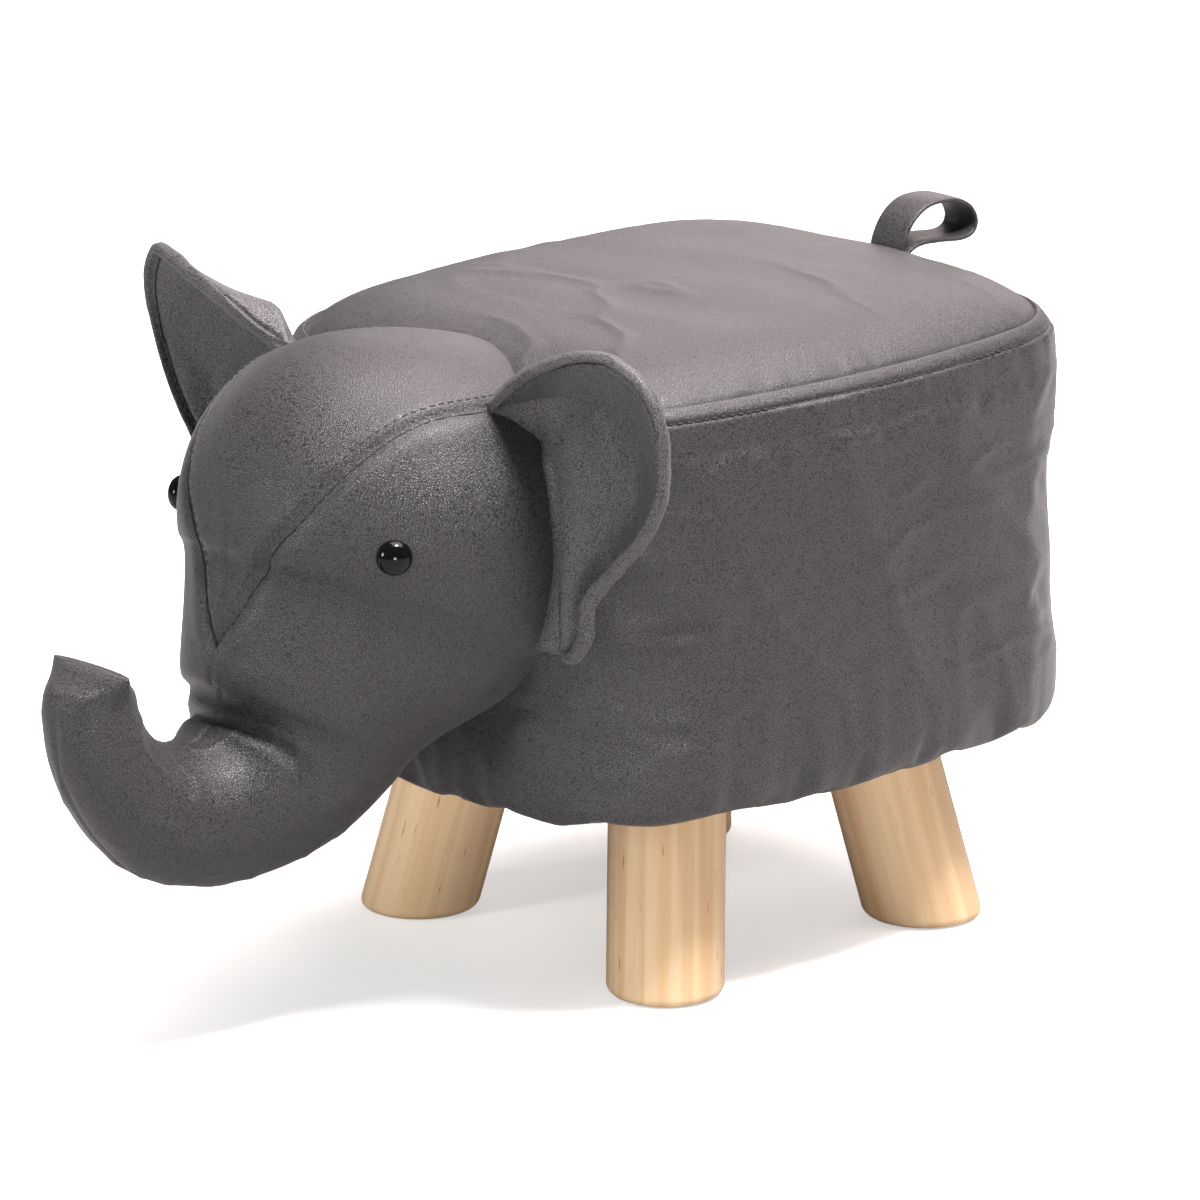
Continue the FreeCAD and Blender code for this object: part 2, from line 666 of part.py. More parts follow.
def inset_stations(stations, depth):
    """Sections of the same form, smaller by a depth measured square to its surface."""
    result = []
    for index, (centre, turn, width, depth_half) in enumerate(stations):
        before = stations[max(index - 1, 0)]
        after = stations[min(index + 1, len(stations) - 1)]
        slope = (after[3] - before[3]) / (after[0] - before[0]).Length
        steep = math.sqrt(1 + slope**2)
        moved = centre + travel(turn) * depth * slope / steep
        result.append((moved, turn, width - depth / steep, depth_half - depth / steep))
    return result


def ring(centre, turn, half_width, half_depth):
    """Corners of one many-sided section, the first on the animal's left."""
    corners = []
    for index in range(HEAD_SIDES):
        angle = 2 * math.pi * index / HEAD_SIDES
        across = Vector(half_width * math.cos(angle), 0, 0)
        corners.append(centre + across + outward(turn) * half_depth * math.sin(angle))
    return corners


def flat_face(*corners):
    """Flat face with the given corners."""
    return Part.Face(Part.makePolygon([*corners, corners[0]]))


def faceted(label, rings):
    """Solid of flat facets through rings that all have the same number of corners."""
    sides = len(rings[0])
    faces = [flat_face(*rings[0]), flat_face(*rings[-1])]
    for upper, lower in zip(rings, rings[1:]):
        for index in range(sides):
            following = (index + 1) % sides
            quad = [upper[index], upper[following], lower[following], lower[index]]
            if index % (sides // 2) >= sides // 4:
                quad = quad[1:] + quad[:1]
            faces.append(flat_face(quad[0], quad[1], quad[2]))
            faces.append(flat_face(quad[0], quad[2], quad[3]))
    shell = Part.makeShell(faces)
    shell.sewShape()
    solid = Part.makeSolid(shell)
    if solid.Volume < 0:
        solid.reverse()
    result = doc.addObject("Part::Feature", label)
    result.Shape = solid
    return result


def head_form(label, depth):
    """Head and trunk in one form, smaller by a depth."""
    return faceted(label, [ring(*station) for station in inset_stations(head_stations(), depth)])


def brow_cutter(label):
    """Leaf-shaped bar that parts the forehead panel from the cheeks."""
    body = new_body(label)
    half = "dims.brow_width / 2"
    nape = "dims.nape_width / 2"
    top = "dims.brow_shoulder + dims.head_diameter / 2"
    corners = (
        ("0", "-dims.brow_tip", "dims.brow_bow"),
        (half, "dims.brow_shoulder"),
        (nape, top),
        (f"-{nape}", top),
        (f"-{half}", "dims.brow_shoulder", "dims.brow_bow"),
    )
    sketch = outline_sketch(body, f"{label}_outline", "XY_Plane", corners)
    pad(body, sketch, f"{label}_pad", "dims.head_diameter")
    return place(body, "0", f"-{HEAD_AHEAD}", "dims.head_height", roll="90 - dims.brow_tilt")


def eye_place(form, side):
    """Where an eye's axis leaves the head, with the axis as the third direction."""
    turn = math.radians(value("dims.eye_turn"))
    rise = math.radians(value("dims.eye_rise"))
    level_out = math.cos(rise)
    axis = Vector(side * math.sin(turn) * level_out, -math.cos(turn) * level_out, math.sin(rise))
    middle = Vector(0, value(f"dims.seat_back - {HEAD_AHEAD}"), value("dims.head_height"))
    line = Part.makeLine(middle, middle + axis * value("dims.head_diameter"))
    surface = line.common(form.Shape).Vertexes
    far = max(surface, key=lambda vertex: (vertex.Point - middle).Length)
    return Placement(far.Point - axis * value("dims.eye_sunk"), Rotation(Vector(0, 0, 1), axis))


def turned(label, where, profile):
    """Many-sided solid turned about a place's third direction; a profile point is a radius and a height."""
    rings = []
    for radius, height in profile:
        corners = []
        for index in range(EYE_SIDES):
            angle = 2 * math.pi * index / EYE_SIDES
            corner = Vector(radius * math.cos(angle), radius * math.sin(angle), height)
            corners.append(where.multVec(corner))
        rings.append(corners)
    return faceted(label, rings)


def eye(label, where):
    """Domed safety eye with a flat rim and a shank."""
    edge = value("dims.eye_diameter / 2")
    rim = value("dims.eye_rim")
    dome = value("dims.eye_dome + dims.eye_sunk") - rim
    shank = value("dims.shank_diameter / 2")
    profile = [(shank, value("-dims.shank_length")), (shank, 0), (edge, 0), (edge, rim)]
    for angle in map(math.radians, EYE_RINGS):
        profile.append((edge * math.cos(angle), rim + dome * math.sin(angle)))
    return turned(label, where, profile)


def washer_front(core, where):
    """Height of a washer's face at an eye's place: pushed up to the fabric, and clear of it all round."""
    edge = value("dims.washer_diameter / 2")
    reach = Vector(0, 0, value("dims.head_diameter / 2"))
    front = value("-2 * dims.cover_thickness")
    for index in range(EYE_SIDES):
        angle = 2 * math.pi * index / EYE_SIDES
        corner = Vector(edge * math.cos(angle), edge * math.sin(angle), 0)
        line = Part.makeLine(where.multVec(corner - reach), where.multVec(corner + reach))
        inside = [where.inverse().multVec(vertex.Point) for vertex in line.common(core.Shape).Vertexes]
        front = min(front, max(point.z for point in inside) - value("dims.fold_gap"))
    return front


def eye_washer(label, where, shank, front):
    """Washer pushed on the shank behind the fabric, its face at the given height."""
    edge = value("dims.washer_diameter / 2")
    back = front - value("dims.washer_thickness")
    return cut(label, turned(f"{label}_disc", where, [(edge, back), (edge, front)]), shank)


def build_head(form):
    """Stuffing, skin panels and eyes of the head and trunk."""
    nodes = {}
    wall = slab("front_wall", "0", REACH, COVER_GROW)
    filling = head_form("stuffing_form", value("dims.cover_thickness"))
    core = cut("stuffing", filling, wall)
    skin = cut("skin", form, core, wall)
    eyes = {}
    washers = []
    for name, side in SIDES.items():
        where = eye_place(form, side)
        eyes[name] = eye(f"{name}_eye", where)
        front = washer_front(filling, where)
        washers.append(eye_washer(f"{name}_eye_washer", where, eyes[name], front))
        nodes[f"{name}_eye"] = eyes[name]
    nodes["eye_washers"] = group("eye_washers", washers)

    back = "180 - dims.curl_crease"
    low = (
        f"-{REACH} / 2",
        f"-{CURL_AHEAD} - {REACH} / 2 * cos({back})",
        f"dims.curl_height - {REACH} / 2 * sin({back})",
    )
    beyond = block("beyond_crease", low, (REACH, REACH, REACH), roll=back)
    nodes["trunk_stuffing"] = common("trunk_stuffing", core, beyond)
    behind = cut("head_core", core, beyond)
    nodes["head_stuffing"] = cut("head_stuffing", behind, eyes["left"], eyes["right"], nodes["eye_washers"])

    brow = brow_cutter("brow_cutter")
    nodes["forehead_panel"] = common("forehead_panel", skin, brow)
    cheeks = cut("cheeks", skin, brow)
    for name, side in SIDES.items():
        low = ("0" if side > 0 else f"-{REACH}", f"-{REACH}", "0")
        half = common(f"{name}_cheek", cheeks, block(f"{name}_half", low, (REACH, REACH, REACH)))
        nodes[f"{name}_head_panel"] = cut(f"{name}_head_panel", half, eyes[name])
    return nodes, wall


# Ears


def ear_sheet(label, side, outer, inner):
    """Cupped sheet between two radii about an axis ahead of the fold line, leaning in at its top."""
    lean = f"{side} * dims.ear_cup_lean"
    low = f"vector(sin({lean}) * {REACH} / 2; -dims.ear_cup; -cos({lean}) * {REACH} / 2)"
    tubes = []
    for name, radius in (("outer", outer), ("inner", inner)):
        tube = primitive("Cylinder", f"{label}_{name}", {"Radius": radius, "Height": REACH})
        tubes.append(bind(tube, {"Placement": f"placement({low}; rotation(0; -({lean}); 0))"}))
    return cut(label, *tubes)


def ear_blank(label, corners):
    """Bar with an ear outline, deep enough for the whole cup."""
    body = doc.addObject("PartDesign::Body", label)
    sketch = outline_sketch(body, f"{label}_outline", "XZ_Plane", corners)
    pad(body, sketch, f"{label}_pad", "dims.ear_cup", symmetric=True)
    return body


def mirrored(corners, side):
    """Corners for the left ear, or turned over for the right one."""
    if side > 0:
        return corners
    flipped = []
    for index in range(len(corners) - 1, -1, -1):
        x, y = corners[index][:2]
        arc = corners[index - 1][2:]
        flipped.append((f"-({x})", y, *arc))
    return tuple(flipped)


def build_ear(name, side, form, wall):
    """Two sewn layers that fold along a line, and the strip that is sewn into the head."""
    half = "dims.ear_base / 2"
    outline = (
        ("0", f"-{half}"),
        ("dims.ear_low_reach", "-dims.ear_low_drop", "dims.ear_rim_bow"),
        ("dims.ear_top_reach", "dims.ear_top_rise", "dims.ear_top_bow"),
        ("0", half),
    )
    blank = ear_blank(f"{name}_ear_blank", mirrored(outline, side))
    corners = (
        ("dims.ear_top_round", "dims.ear_top_reach", "dims.ear_top_rise"),
        ("dims.ear_low_round", "dims.ear_low_reach", "-dims.ear_low_drop"),
    )
    for radius, reach, rise in corners:
        spot = Vector(side * value(reach), 0, value(rise))
        round_edges(blank, blank.Tip, f"{name}_ear_{radius[5:]}", radius, centred_on(spot))
    edge = "-(dims.ear_roll / 2 + dims.fold_gap)"
    strip = (("-dims.ear_root", f"-{half}"), (edge, f"-{half}"), (edge, half), ("-dims.ear_root", half))
    root_blank = ear_blank(f"{name}_root_blank", mirrored(strip, side))

    middle = "(dims.ear_cup - dims.ear_layer)"
    inner = "(dims.ear_cup - 2 * dims.ear_layer)"
    back_cup = ear_sheet(f"{name}_back_cup", side, "dims.ear_cup", middle)
    front_cup = ear_sheet(f"{name}_front_cup", side, middle, inner)
    back = common(f"{name}_ear_back_sheet", back_cup, blank)
    front = common(f"{name}_ear_front_sheet", front_cup, blank)
    roll_sizes = {"Radius": "dims.ear_roll / 2", "Height": "dims.ear_base - 2 * dims.ear_roll"}
    roll = primitive("Cylinder", f"{name}_ear_roll", roll_sizes)
    low = f"vector(0; -dims.ear_layer; dims.ear_roll - {half})"
    bind(roll, {"Placement": f"placement({low}; rotation(0; 0; 0))"})
    trim_sizes = {"Radius": "dims.ear_front_trim", "Height": "dims.ear_base"}
    trim = primitive("Cylinder", f"{name}_fold_trim", trim_sizes)
    bind(trim, {"Placement": f"placement(vector(0; -dims.ear_layer; -{half}); rotation(0; 0; 0))"})
    both = ear_sheet(f"{name}_root_cup", side, "dims.ear_cup", inner)
    root = common(f"{name}_root_sheet", both, root_blank)

    yaw = f"{-side} * dims.{name}_ear_sweep"
    pitch = f"{-side} * dims.{name}_ear_lift"
    where = (f"{side} * dims.ear_out", f"-{EAR_AHEAD}", "dims.ear_height", yaw, pitch)
    nodes = {
        f"{name}_ear_back": place(fuse(f"{name}_ear_back", back, roll), *where),
        f"{name}_ear_front": place(cut(f"{name}_ear_front", front, trim), *where),
    }
    place(root, *where)
    nodes[f"{name}_ear_root"] = cut(f"{name}_ear_root", root, form, wall)
    return nodes


# Tail


def loop_sketch(body, name, radius):
    """Long round-ended outline of the strap loop, at one distance from its middle line."""
    sketch = new_sketch(body, name, "YZ_Plane")
    size = value(radius)
    low = Vector(value("dims.tail_bend - dims.tail_strap / 2"), value("dims.tail_rise"), 0)
    high = low + Vector(value("dims.tail_loop"), 0, 0)
    up = Vector(0, size, 0)
    quarter = math.pi / 2
    normal = Vector(0, 0, 1)
    sketch.addGeometry(Part.ArcOfCircle(Part.Circle(low, normal, size), quarter, 3 * quarter))
    sketch.addGeometry(Part.LineSegment(low - up, high - up))
    sketch.addGeometry(Part.ArcOfCircle(Part.Circle(high, normal, size), -quarter, quarter))
    sketch.addGeometry(Part.LineSegment(high + up, low + up))
    for index in range(4):
        sketch.addConstraint(Sketcher.Constraint("Tangent", index, 2, (index + 1) % 4, 1))
    fix_point(sketch, 0, 3, "dims.tail_bend - dims.tail_strap / 2", "dims.tail_rise")
    fix_point(sketch, 2, 3, "dims.tail_bend - dims.tail_strap / 2 + dims.tail_loop", "dims.tail_rise")
    dimension(sketch, "Radius", (0,), radius)
    return sketch


def build_tail():
    """Strap loop whose doubled root turns on the rear seam."""
    body = new_body("tail_loop")
    width = "dims.tail_width"
    outer = loop_sketch(body, "loop_outside", "dims.tail_bend + dims.tail_strap / 2")
    pad(body, outer, "loop_pad", width, symmetric=True)
    strap = "dims.tail_strap"
    corners = ((f"-{strap}", "0"), (strap, "0"), (strap, "dims.tail_rise"), (f"-{strap}", "dims.tail_rise"))
    pad(body, outline_sketch(body, "stem_outline", "YZ_Plane", corners), "stem_pad", width, symmetric=True)
    root = new_sketch(body, "root_outline", "YZ_Plane")
    root.addGeometry(Part.Circle(Vector(0, 0, 0), Vector(0, 0, 1), value(strap)))
    root.addConstraint(Sketcher.Constraint("Coincident", 0, 3, -1, 1))
    dimension(root, "Radius", (0,), strap)
    pad(body, root, "root_pad", width, symmetric=True)
    doc.recompute()
    solid = body.Shape.Volume
    gap = body.newObject("PartDesign::Pocket", "loop_gap")
    gap.Profile = loop_sketch(body, "loop_inside", "dims.tail_bend - dims.tail_strap / 2")
    gap.Type = "ThroughAll"
    gap.SideType = "Symmetric"
    doc.recompute()
    if body.Shape.Volume >= solid:
        raise RuntimeError("the tail's finger gap cuts nothing")
    behind = "dims.seat_length / 2 - dims.tail_inset"
    place(body, "0", behind, "dims.seam_height + dims.tail_height", roll="-dims.tail_lean")
    return {"tail_loop": body}


def check(nodes):
    """Stop if any object failed or any piece is empty or broken."""
    for item in doc.Objects:
        if {"Invalid", "Error"} & set(item.State):
            raise RuntimeError(f"{item.Label} failed: {item.State}")
    for name, item in nodes.items():
        if item.Shape.isNull() or not item.Shape.isValid() or not item.Shape.Solids:
            raise RuntimeError(f"{name} has no valid solid")


def main():
    """Build every piece, check it and write one file for each node."""
    form = head_form("head_form", 0)
    head_nodes, wall = build_head(form)
    nodes = {**build_seat(), **head_nodes}
    for name, side in SIDES.items():
        nodes.update(build_ear(name, side, form, wall))
    nodes.update(build_tail())
    doc.recompute()
    check(nodes)
    os.makedirs("parts", exist_ok=True)
    for name, item in nodes.items():
        item.Label = name
        item.Shape.exportStep(f"parts/{name}.step")
        print(f"{name}: {len(item.Shape.Solids)} solids, {item.Shape.Volume / 1000:.1f} cm3")


main()
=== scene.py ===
"""Looks of the elephant footstool.

The construction model gives every place and size. This file gives the sewn cover, the
stuffed head and trunk, the ears, the tail loop, the eyes and the pine legs their real
surfaces, and sets up the plain studio of the photograph.
"""

import logging
import math
from dataclasses import dataclass, field
from enum import Enum
from typing import Any, Callable, Sequence

import bpy
import numpy as np
from mathutils import Matrix, Vector, noise
from mathutils.bvhtree import BVHTree


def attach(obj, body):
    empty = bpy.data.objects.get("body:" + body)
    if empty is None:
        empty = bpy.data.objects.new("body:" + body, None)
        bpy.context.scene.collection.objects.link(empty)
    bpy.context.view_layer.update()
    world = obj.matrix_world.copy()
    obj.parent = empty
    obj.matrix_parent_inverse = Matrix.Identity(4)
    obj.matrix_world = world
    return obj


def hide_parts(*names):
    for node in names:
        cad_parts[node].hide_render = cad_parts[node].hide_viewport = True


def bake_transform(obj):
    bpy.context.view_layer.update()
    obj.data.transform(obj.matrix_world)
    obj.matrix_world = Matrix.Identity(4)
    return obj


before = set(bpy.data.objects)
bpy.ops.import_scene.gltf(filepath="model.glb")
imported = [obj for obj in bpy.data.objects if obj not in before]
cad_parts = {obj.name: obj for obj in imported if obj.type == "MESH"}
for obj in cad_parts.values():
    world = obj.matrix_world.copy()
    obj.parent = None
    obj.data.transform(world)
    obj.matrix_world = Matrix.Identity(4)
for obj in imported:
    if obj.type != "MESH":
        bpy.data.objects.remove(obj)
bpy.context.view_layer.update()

MM = 0.001
LOG = logging.getLogger("elephant_stool")

SEAT_BACK = 82 * MM
LEG_SIGNS = {"front_left": (1, -1), "front_right": (-1, -1), "rear_left": (1, 1), "rear_right": (-1, 1)}

# Fineness of lines, cords and the cloth's held edge
SPLINE_STEPS = 24
CORD_SIDES = 8
HELD_ROWS = 3
# A direction that no seam follows, a start for rays outside the head, and a guard against a zero length
NO_SEAM_WAY = (0.3, 0.2, 0.93)
RAY_START = 0.2
TINY = 1e-12

Array = np.ndarray


class Body(str, Enum):
    """Moving bodies of the construction model."""

    STOOL = "stool"
    LEFT_EAR = "left_ear"
    RIGHT_EAR = "right_ear"
    TAIL = "tail"


class Slot(str, Enum):
    """Finish slots of the record that the pieces here use."""

    COVER = "cover"
    EAR_LINING = "ear_lining"
    PINE = "pine"
    PLYWOOD = "plywood"
    DUST_CLOTH = "dust_cloth"
    STEEL = "steel"
    EYE = "eye"
    WASHER = "washer"


class Side(Enum):
    """Side of the animal; the value is the sign of x."""

    LEFT = 1
    RIGHT = -1

    @property
    def word(self) -> str:
        """Word used in names.

        Returns:
            The side in small letters.
        """
        return self.name.lower()


# Small tools


def linear(code: str) -> tuple[float, float, float, float]:
    """Turn an sRGB hex colour into the linear colour that shaders take.

    Args:
        code: Six hex digits after a hash sign.

    Returns:
        Linear red, green, blue and an alpha of one.
    """
    channels = [int(code[place : place + 2], 16) / 255 for place in (1, 3, 5)]
    red, green, blue = (c / 12.92 if c <= 0.04045 else ((c + 0.055) / 1.055) ** 2.4 for c in channels)
    return red, green, blue, 1.0


def set_up(tree: bpy.types.NodeTree, node: bpy.types.Node, settings: dict[str, Any], **links: Any) -> None:
    """Set up a shader node and link its inputs.

    Args:
        tree: Node tree that holds the node.
        node: Node to set up.
        settings: Property names, or input names when the node has no such property, with values.
        **links: Input names, with underscores for spaces, and the sockets that feed them.
    """
    for name, value in settings.items():
        if hasattr(node, name):
            setattr(node, name, value)
        else:
            node.inputs[name].default_value = value
    for name, socket in links.items():
        tree.links.new(socket, node.inputs[name.replace("_", " ")])


def add_node(tree: bpy.types.NodeTree, kind: str, settings: dict[str, Any], **links: Any) -> bpy.types.Node:
    """Add a shader node, set it up and link its inputs.

    Args:
        tree: Node tree to add to.
        kind: Blender's name for the node type.
        settings: As for set_up.
        **links: As for set_up.

    Returns:
        The new node.
    """
    node = tree.nodes.new(kind)
    set_up(tree, node, settings, **links)
    return node


def new_material(name: str) -> tuple[bpy.types.Material, bpy.types.NodeTree, bpy.types.Node]:
    """Start a material.

    Args:
        name: Name of the material.

    Returns:
        The material, its node tree and its main shader.
    """
    made = bpy.data.materials.new(name)
    made.use_nodes = True
    return made, made.node_tree, made.node_tree.nodes["Principled BSDF"]


def noise_at(points: Array, scale: Sequence[float], seed: float) -> Array:
    """Smooth noise at points.

    Args:
        points: Points, one row each.
        scale: Length of one noise step along each direction.
        seed: Shift that picks another part of the noise.

    Returns:
        Values from about minus one to one.
    """
    stretched = points / np.asarray(scale) + seed
    return np.array([noise.noise(Vector(row)) for row in stretched])


@dataclass(frozen=True)
class Ripple:
    """One layer of unevenness in soft leather: its height, its wave lengths and which noise it takes."""

    height: float
    waves: tuple[float, float, float]
    seed: float
    narrow: float = 1.0

    def noise(self, points: Array, shift: float = 0.0) -> Array:
        """Soft waves.

        Args:
            points: Points, one row each.
            shift: Added to the seed, for a second piece of the same kind.

        Returns:
            Values from about minus one to one.
        """
        return noise_at(points, self.waves, self.seed + shift)

    def ridges(self, points: Array) -> Array:
        """Narrow ridges along the lines where the waves cross their middle.

        Args:
            points: Points, one row each.

        Returns:
            Values from zero to one.
        """
        return np.clip(1 - np.abs(self.noise(points)) * self.narrow, 0, 1)


def fade(distance: float, length: float) -> float:
    """Fall from one towards zero with distance.

    Args:
        distance: Distance, which counts as zero when it is negative.
        length: Distance over which the value falls to about a third.

    Returns:
        The share that is left.
    """
    return math.exp(-max(distance, 0) / length)


def hump(distance: Array, width: float) -> Array:
    """Bell-shaped rise round a line.

    Args:
        distance: Distances from the line.
        width: Distance at which about a third of the rise is left.

    Returns:
        Values from zero to one.
    """
    return np.exp(-((distance / width) ** 2))


def unit(vectors: Array) -> Array:
    """Bring vectors to a length of one.

    Args:
        vectors: Vectors along the last direction of the array.

    Returns:
        Unit vectors.
    """
    return vectors / np.linalg.norm(vectors, axis=-1, keepdims=True)


def direction(turn: float, rise: float) -> Vector:
    """Direction seen from the middle of the animal.

    Args:
        turn: Angle from straight ahead towards the animal's left.
        rise: Angle above the level.

    Returns:
        Unit direction.
    """
    return Vector((math.sin(turn) * math.cos(rise), -math.cos(turn) * math.cos(rise), math.sin(rise)))


def smooth_step(low: float, high: float, value: Array) -> Array:
    """Ease from zero to one.

    Args:
        low: Value where the result is zero.
        high: Value where the result is one.
        value: Values to ease.

    Returns:
        Eased values.
    """
    share = np.clip((value - low) / (high - low), 0, 1)
    return share * share * (3 - 2 * share)


def spline(points: Array, count: int, measured: int = 3) -> Array:
    """Smooth line through points, cut in equal steps of length.

    Args:
        points: Points to pass through, one row each.
        count: Number of points wanted.
        measured: How many of the first columns are lengths.

    Returns:
        Points on the line.
    """
    padded = np.vstack([2 * points[0] - points[1], points, 2 * points[-1] - points[-2]])
    dense = []
    for first, second, third, fourth in zip(padded, padded[1:], padded[2:], padded[3:]):
        for t in np.linspace(0, 1, SPLINE_STEPS, endpoint=False):
            tangent = -first + third
            bend = 2 * first - 5 * second + 4 * third - fourth
            twist = -first + 3 * second - 3 * third + fourth
            dense.append(second + 0.5 * (tangent * t + bend * t**2 + twist * t**3))
    dense.append(points[-1])
    return resample(np.array(dense), count, measured)


def resample(points: Array, count: int, measured: int = 3) -> Array:
    """Cut a line of points in equal steps of length.

    Args:
        points: Points of the line, one row each.
        count: Number of points wanted.
        measured: How many of the first columns are lengths.

    Returns:
        Points on the line.
    """
    steps = np.linalg.norm(np.diff(points[:, :measured], axis=0), axis=1)
    length = np.concatenate([[0], np.cumsum(steps)])
    wanted = np.linspace(0, length[-1], count)
    return np.column_stack([np.interp(wanted, length, points[:, axis]) for axis in range(points.shape[1])])


def select_only(piece: bpy.types.Object) -> None:
    """Make a piece the only selected and active one.

    Args:
        piece: Piece to select.
    """
    bpy.ops.object.select_all(action="DESELECT")
    piece.select_set(True)
    bpy.context.view_layer.objects.active = piece


def modify(piece: bpy.types.Object, kind: str, **settings: Any) -> None:
    """Add a modifier to a piece and apply it.

    Args:
        piece: Piece to change.
        kind: Blender's name for the modifier type.
        **settings: Settings of the modifier.
    """
    select_only(piece)
    bpy.ops.object.modifier_add(type=kind)
    modifier = piece.modifiers[-1]
    for name, value in settings.items():
        setattr(modifier, name, value)
    bpy.ops.object.modifier_apply(modifier=modifier.name)


def settle(piece: bpy.types.Object, name: str) -> bpy.types.Object:
    """Name a piece and take its place and turn into its mesh.

    Args:
        piece: Piece to finish.
        name: Name of the piece and its mesh.

    Returns:
        The same piece, at the origin.
    """
    select_only(piece)
    bpy.ops.object.transform_apply(location=True, rotation=True, scale=True)
    piece.name = name
    piece.data.name = name
    return piece


def skin(name: str, points: Array, faces: list[tuple[int, ...]]) -> bpy.types.Object:
    """Make a soft piece whose surface no primitive has.

    Args:
        name: Name of the piece.
        points: Corner points, one row each, in metres.
        faces: Corner numbers of each face.

    Returns:
        The piece, with smooth shading and outward normals.
    """
    mesh = bpy.data.meshes.new(name)
    mesh.from_pydata([tuple(point) for point in points], [], faces)
    piece = bpy.data.objects.new(name, mesh)
    bpy.context.scene.collection.objects.link(piece)
    select_only(piece)
    bpy.ops.object.mode_set(mode="EDIT")
    bpy.ops.mesh.select_all(action="SELECT")
    bpy.ops.mesh.normals_make_consistent(inside=False)
    bpy.ops.object.mode_set(mode="OBJECT")
    bpy.ops.object.shade_smooth()
    return piece


def tube(name: str, net: Array) -> bpy.types.Object:
    """Make a closed piece from a net whose rows close on themselves, with flat ends.

    Args:
        name: Name of the piece.
        net: Points by row and column.

    Returns:
        The piece.
    """
    rows, columns = net.shape[:2]
    faces = net_faces(rows, columns, True)
    faces.append(tuple(range(columns)))
    faces.append(tuple(range((rows - 1) * columns, rows * columns)))
    return skin(name, net.reshape(-1, 3), faces)


def cord_along(name: str, line: Array, radius: float) -> bpy.types.Object:
    """Thin round cord along a line; in a near-black finish it lies along a seam as a line of painted shadow.

    Args:
        name: Name of the piece.
        line: Points of its middle, one row each.
        radius: Half its thickness.

    Returns:
        The cord.
    """
    ahead = unit(np.gradient(line, axis=0))
    aside = unit(np.cross(ahead, NO_SEAM_WAY))
    rise = np.cross(ahead, aside)
    net = []
    for angle in np.linspace(0, 2 * math.pi, CORD_SIDES, endpoint=False):
        net.append(line + radius * (aside * math.cos(angle) + rise * math.sin(angle)))
    return tube(name, np.array(net).transpose(1, 0, 2))


def net_faces(rows: int, columns: int, closed: bool) -> list[tuple[int, ...]]:
    """Quads of a net of points.

    Args:
        rows: Number of rows.
        columns: Number of points in a row.
        closed: Whether each row closes on itself.

    Returns:
        Corner numbers of each quad.
    """
    faces = []
    for row in range(rows - 1):
        for column in range(columns if closed else columns - 1):
            after = (column + 1) % columns
            here, above = row * columns, (row + 1) * columns
            faces.append((here + column, here + after, above + after, above + column))
    return faces


def net_normals(net: Array, closed: bool) -> Array:
    """Unit normals of a net of points.

    Args:
        net: Points by row and column.
        closed: Whether each row closes on itself.

    Returns:
        Normals by row and column.
    """
    if closed:
        along = np.roll(net, -1, axis=1) - np.roll(net, 1, axis=1)
    else:
        along = np.gradient(net, axis=1)
    normals = np.cross(along, np.gradient(net, axis=0))
    return normals / np.maximum(np.linalg.norm(normals, axis=2, keepdims=True), TINY)


def with_midpoints(values: Array, closed: bool) -> Array:
    """Put a smooth value half way between each two along the first direction.

    Args:
        values: Values by row.
        closed: Whether the last row is followed by the first.

    Returns:
        Values of about twice as many rows.
    """
    if closed:
        padded = np.concatenate([values[-1:], values, values[:2]])
    else:
        padded = np.concatenate([values[:1], values, values[-1:]])
    # The cubic through four neighbours, at its middle
    middles = (9 * (padded[1:-2] + padded[2:-1]) - padded[:-3] - padded[3:]) / 16
    doubled = np.empty((len(values) + len(middles), *values.shape[1:]))
    doubled[::2], doubled[1::2] = values, middles
    return doubled


def drape(net: Array, slack: float, pressure: float, cap: float, frames: int = 20) -> Array:
    """Let a closed band of leather settle as cloth between its held edges.

    Args:
        net: Points of the band by row and column, each row closed on itself.
        slack: How much larger the leather is cut than the form it covers, as a share.
        pressure: Push of the padding behind it.
        cap: Furthest that a point may move.
        frames: Steps of the simulation.

    Returns:
        How far each point moves.
    """
    rows, columns = net.shape[:2]
    faces = net_faces(rows, columns, True)
    away = net - net.mean((0, 1))
    if (net_normals(net, True) * away).sum() < 0:
        faces = [tuple(reversed(face)) for face in faces]
    mesh = bpy.data.meshes.new("draped_band")
    mesh.from_pydata(net.reshape(-1, 3).tolist(), [], faces)
    band = bpy.data.objects.new("draped_band", mesh)
    scene = bpy.context.scene
    scene.collection.objects.link(band)
    held = band.vertex_groups.new(name="sewn_edges")
    held.add([*range(HELD_ROWS * columns), *range((rows - 1) * columns, rows * columns)], 1.0, "REPLACE")
    cloth = band.modifiers.new("leather", "CLOTH")
    cloth.collision_settings.use_collision = False
    leather = {
        "quality": 6,
        "mass": 0.25,
        "bending_stiffness": 1.5,
        "air_damping": 3,
        "vertex_group_mass": held.name,
        "shrink_min": -slack,
        "use_pressure": True,
        "uniform_pressure_force": pressure,
    }
    for name, value in leather.items():
        setattr(cloth.settings, name, value)
    cloth.settings.effector_weights.gravity = 0
    for step in range(1, frames + 1):
        scene.frame_set(step)
    settled = band.evaluated_get(bpy.context.evaluated_depsgraph_get()).data
    places = np.empty(rows * columns * 3)
    settled.vertices.foreach_get("co", places)
    bpy.data.objects.remove(band)
    bpy.data.meshes.remove(mesh)
    scene.frame_set(1)
    move = places.reshape(net.shape) - net
    reach = np.linalg.norm(move, axis=2, keepdims=True)
    LOG.info("leather moved %.1f mm at most", reach.max() / MM)
    return move * np.minimum(1, cap / np.maximum(reach, TINY))


# Finishes


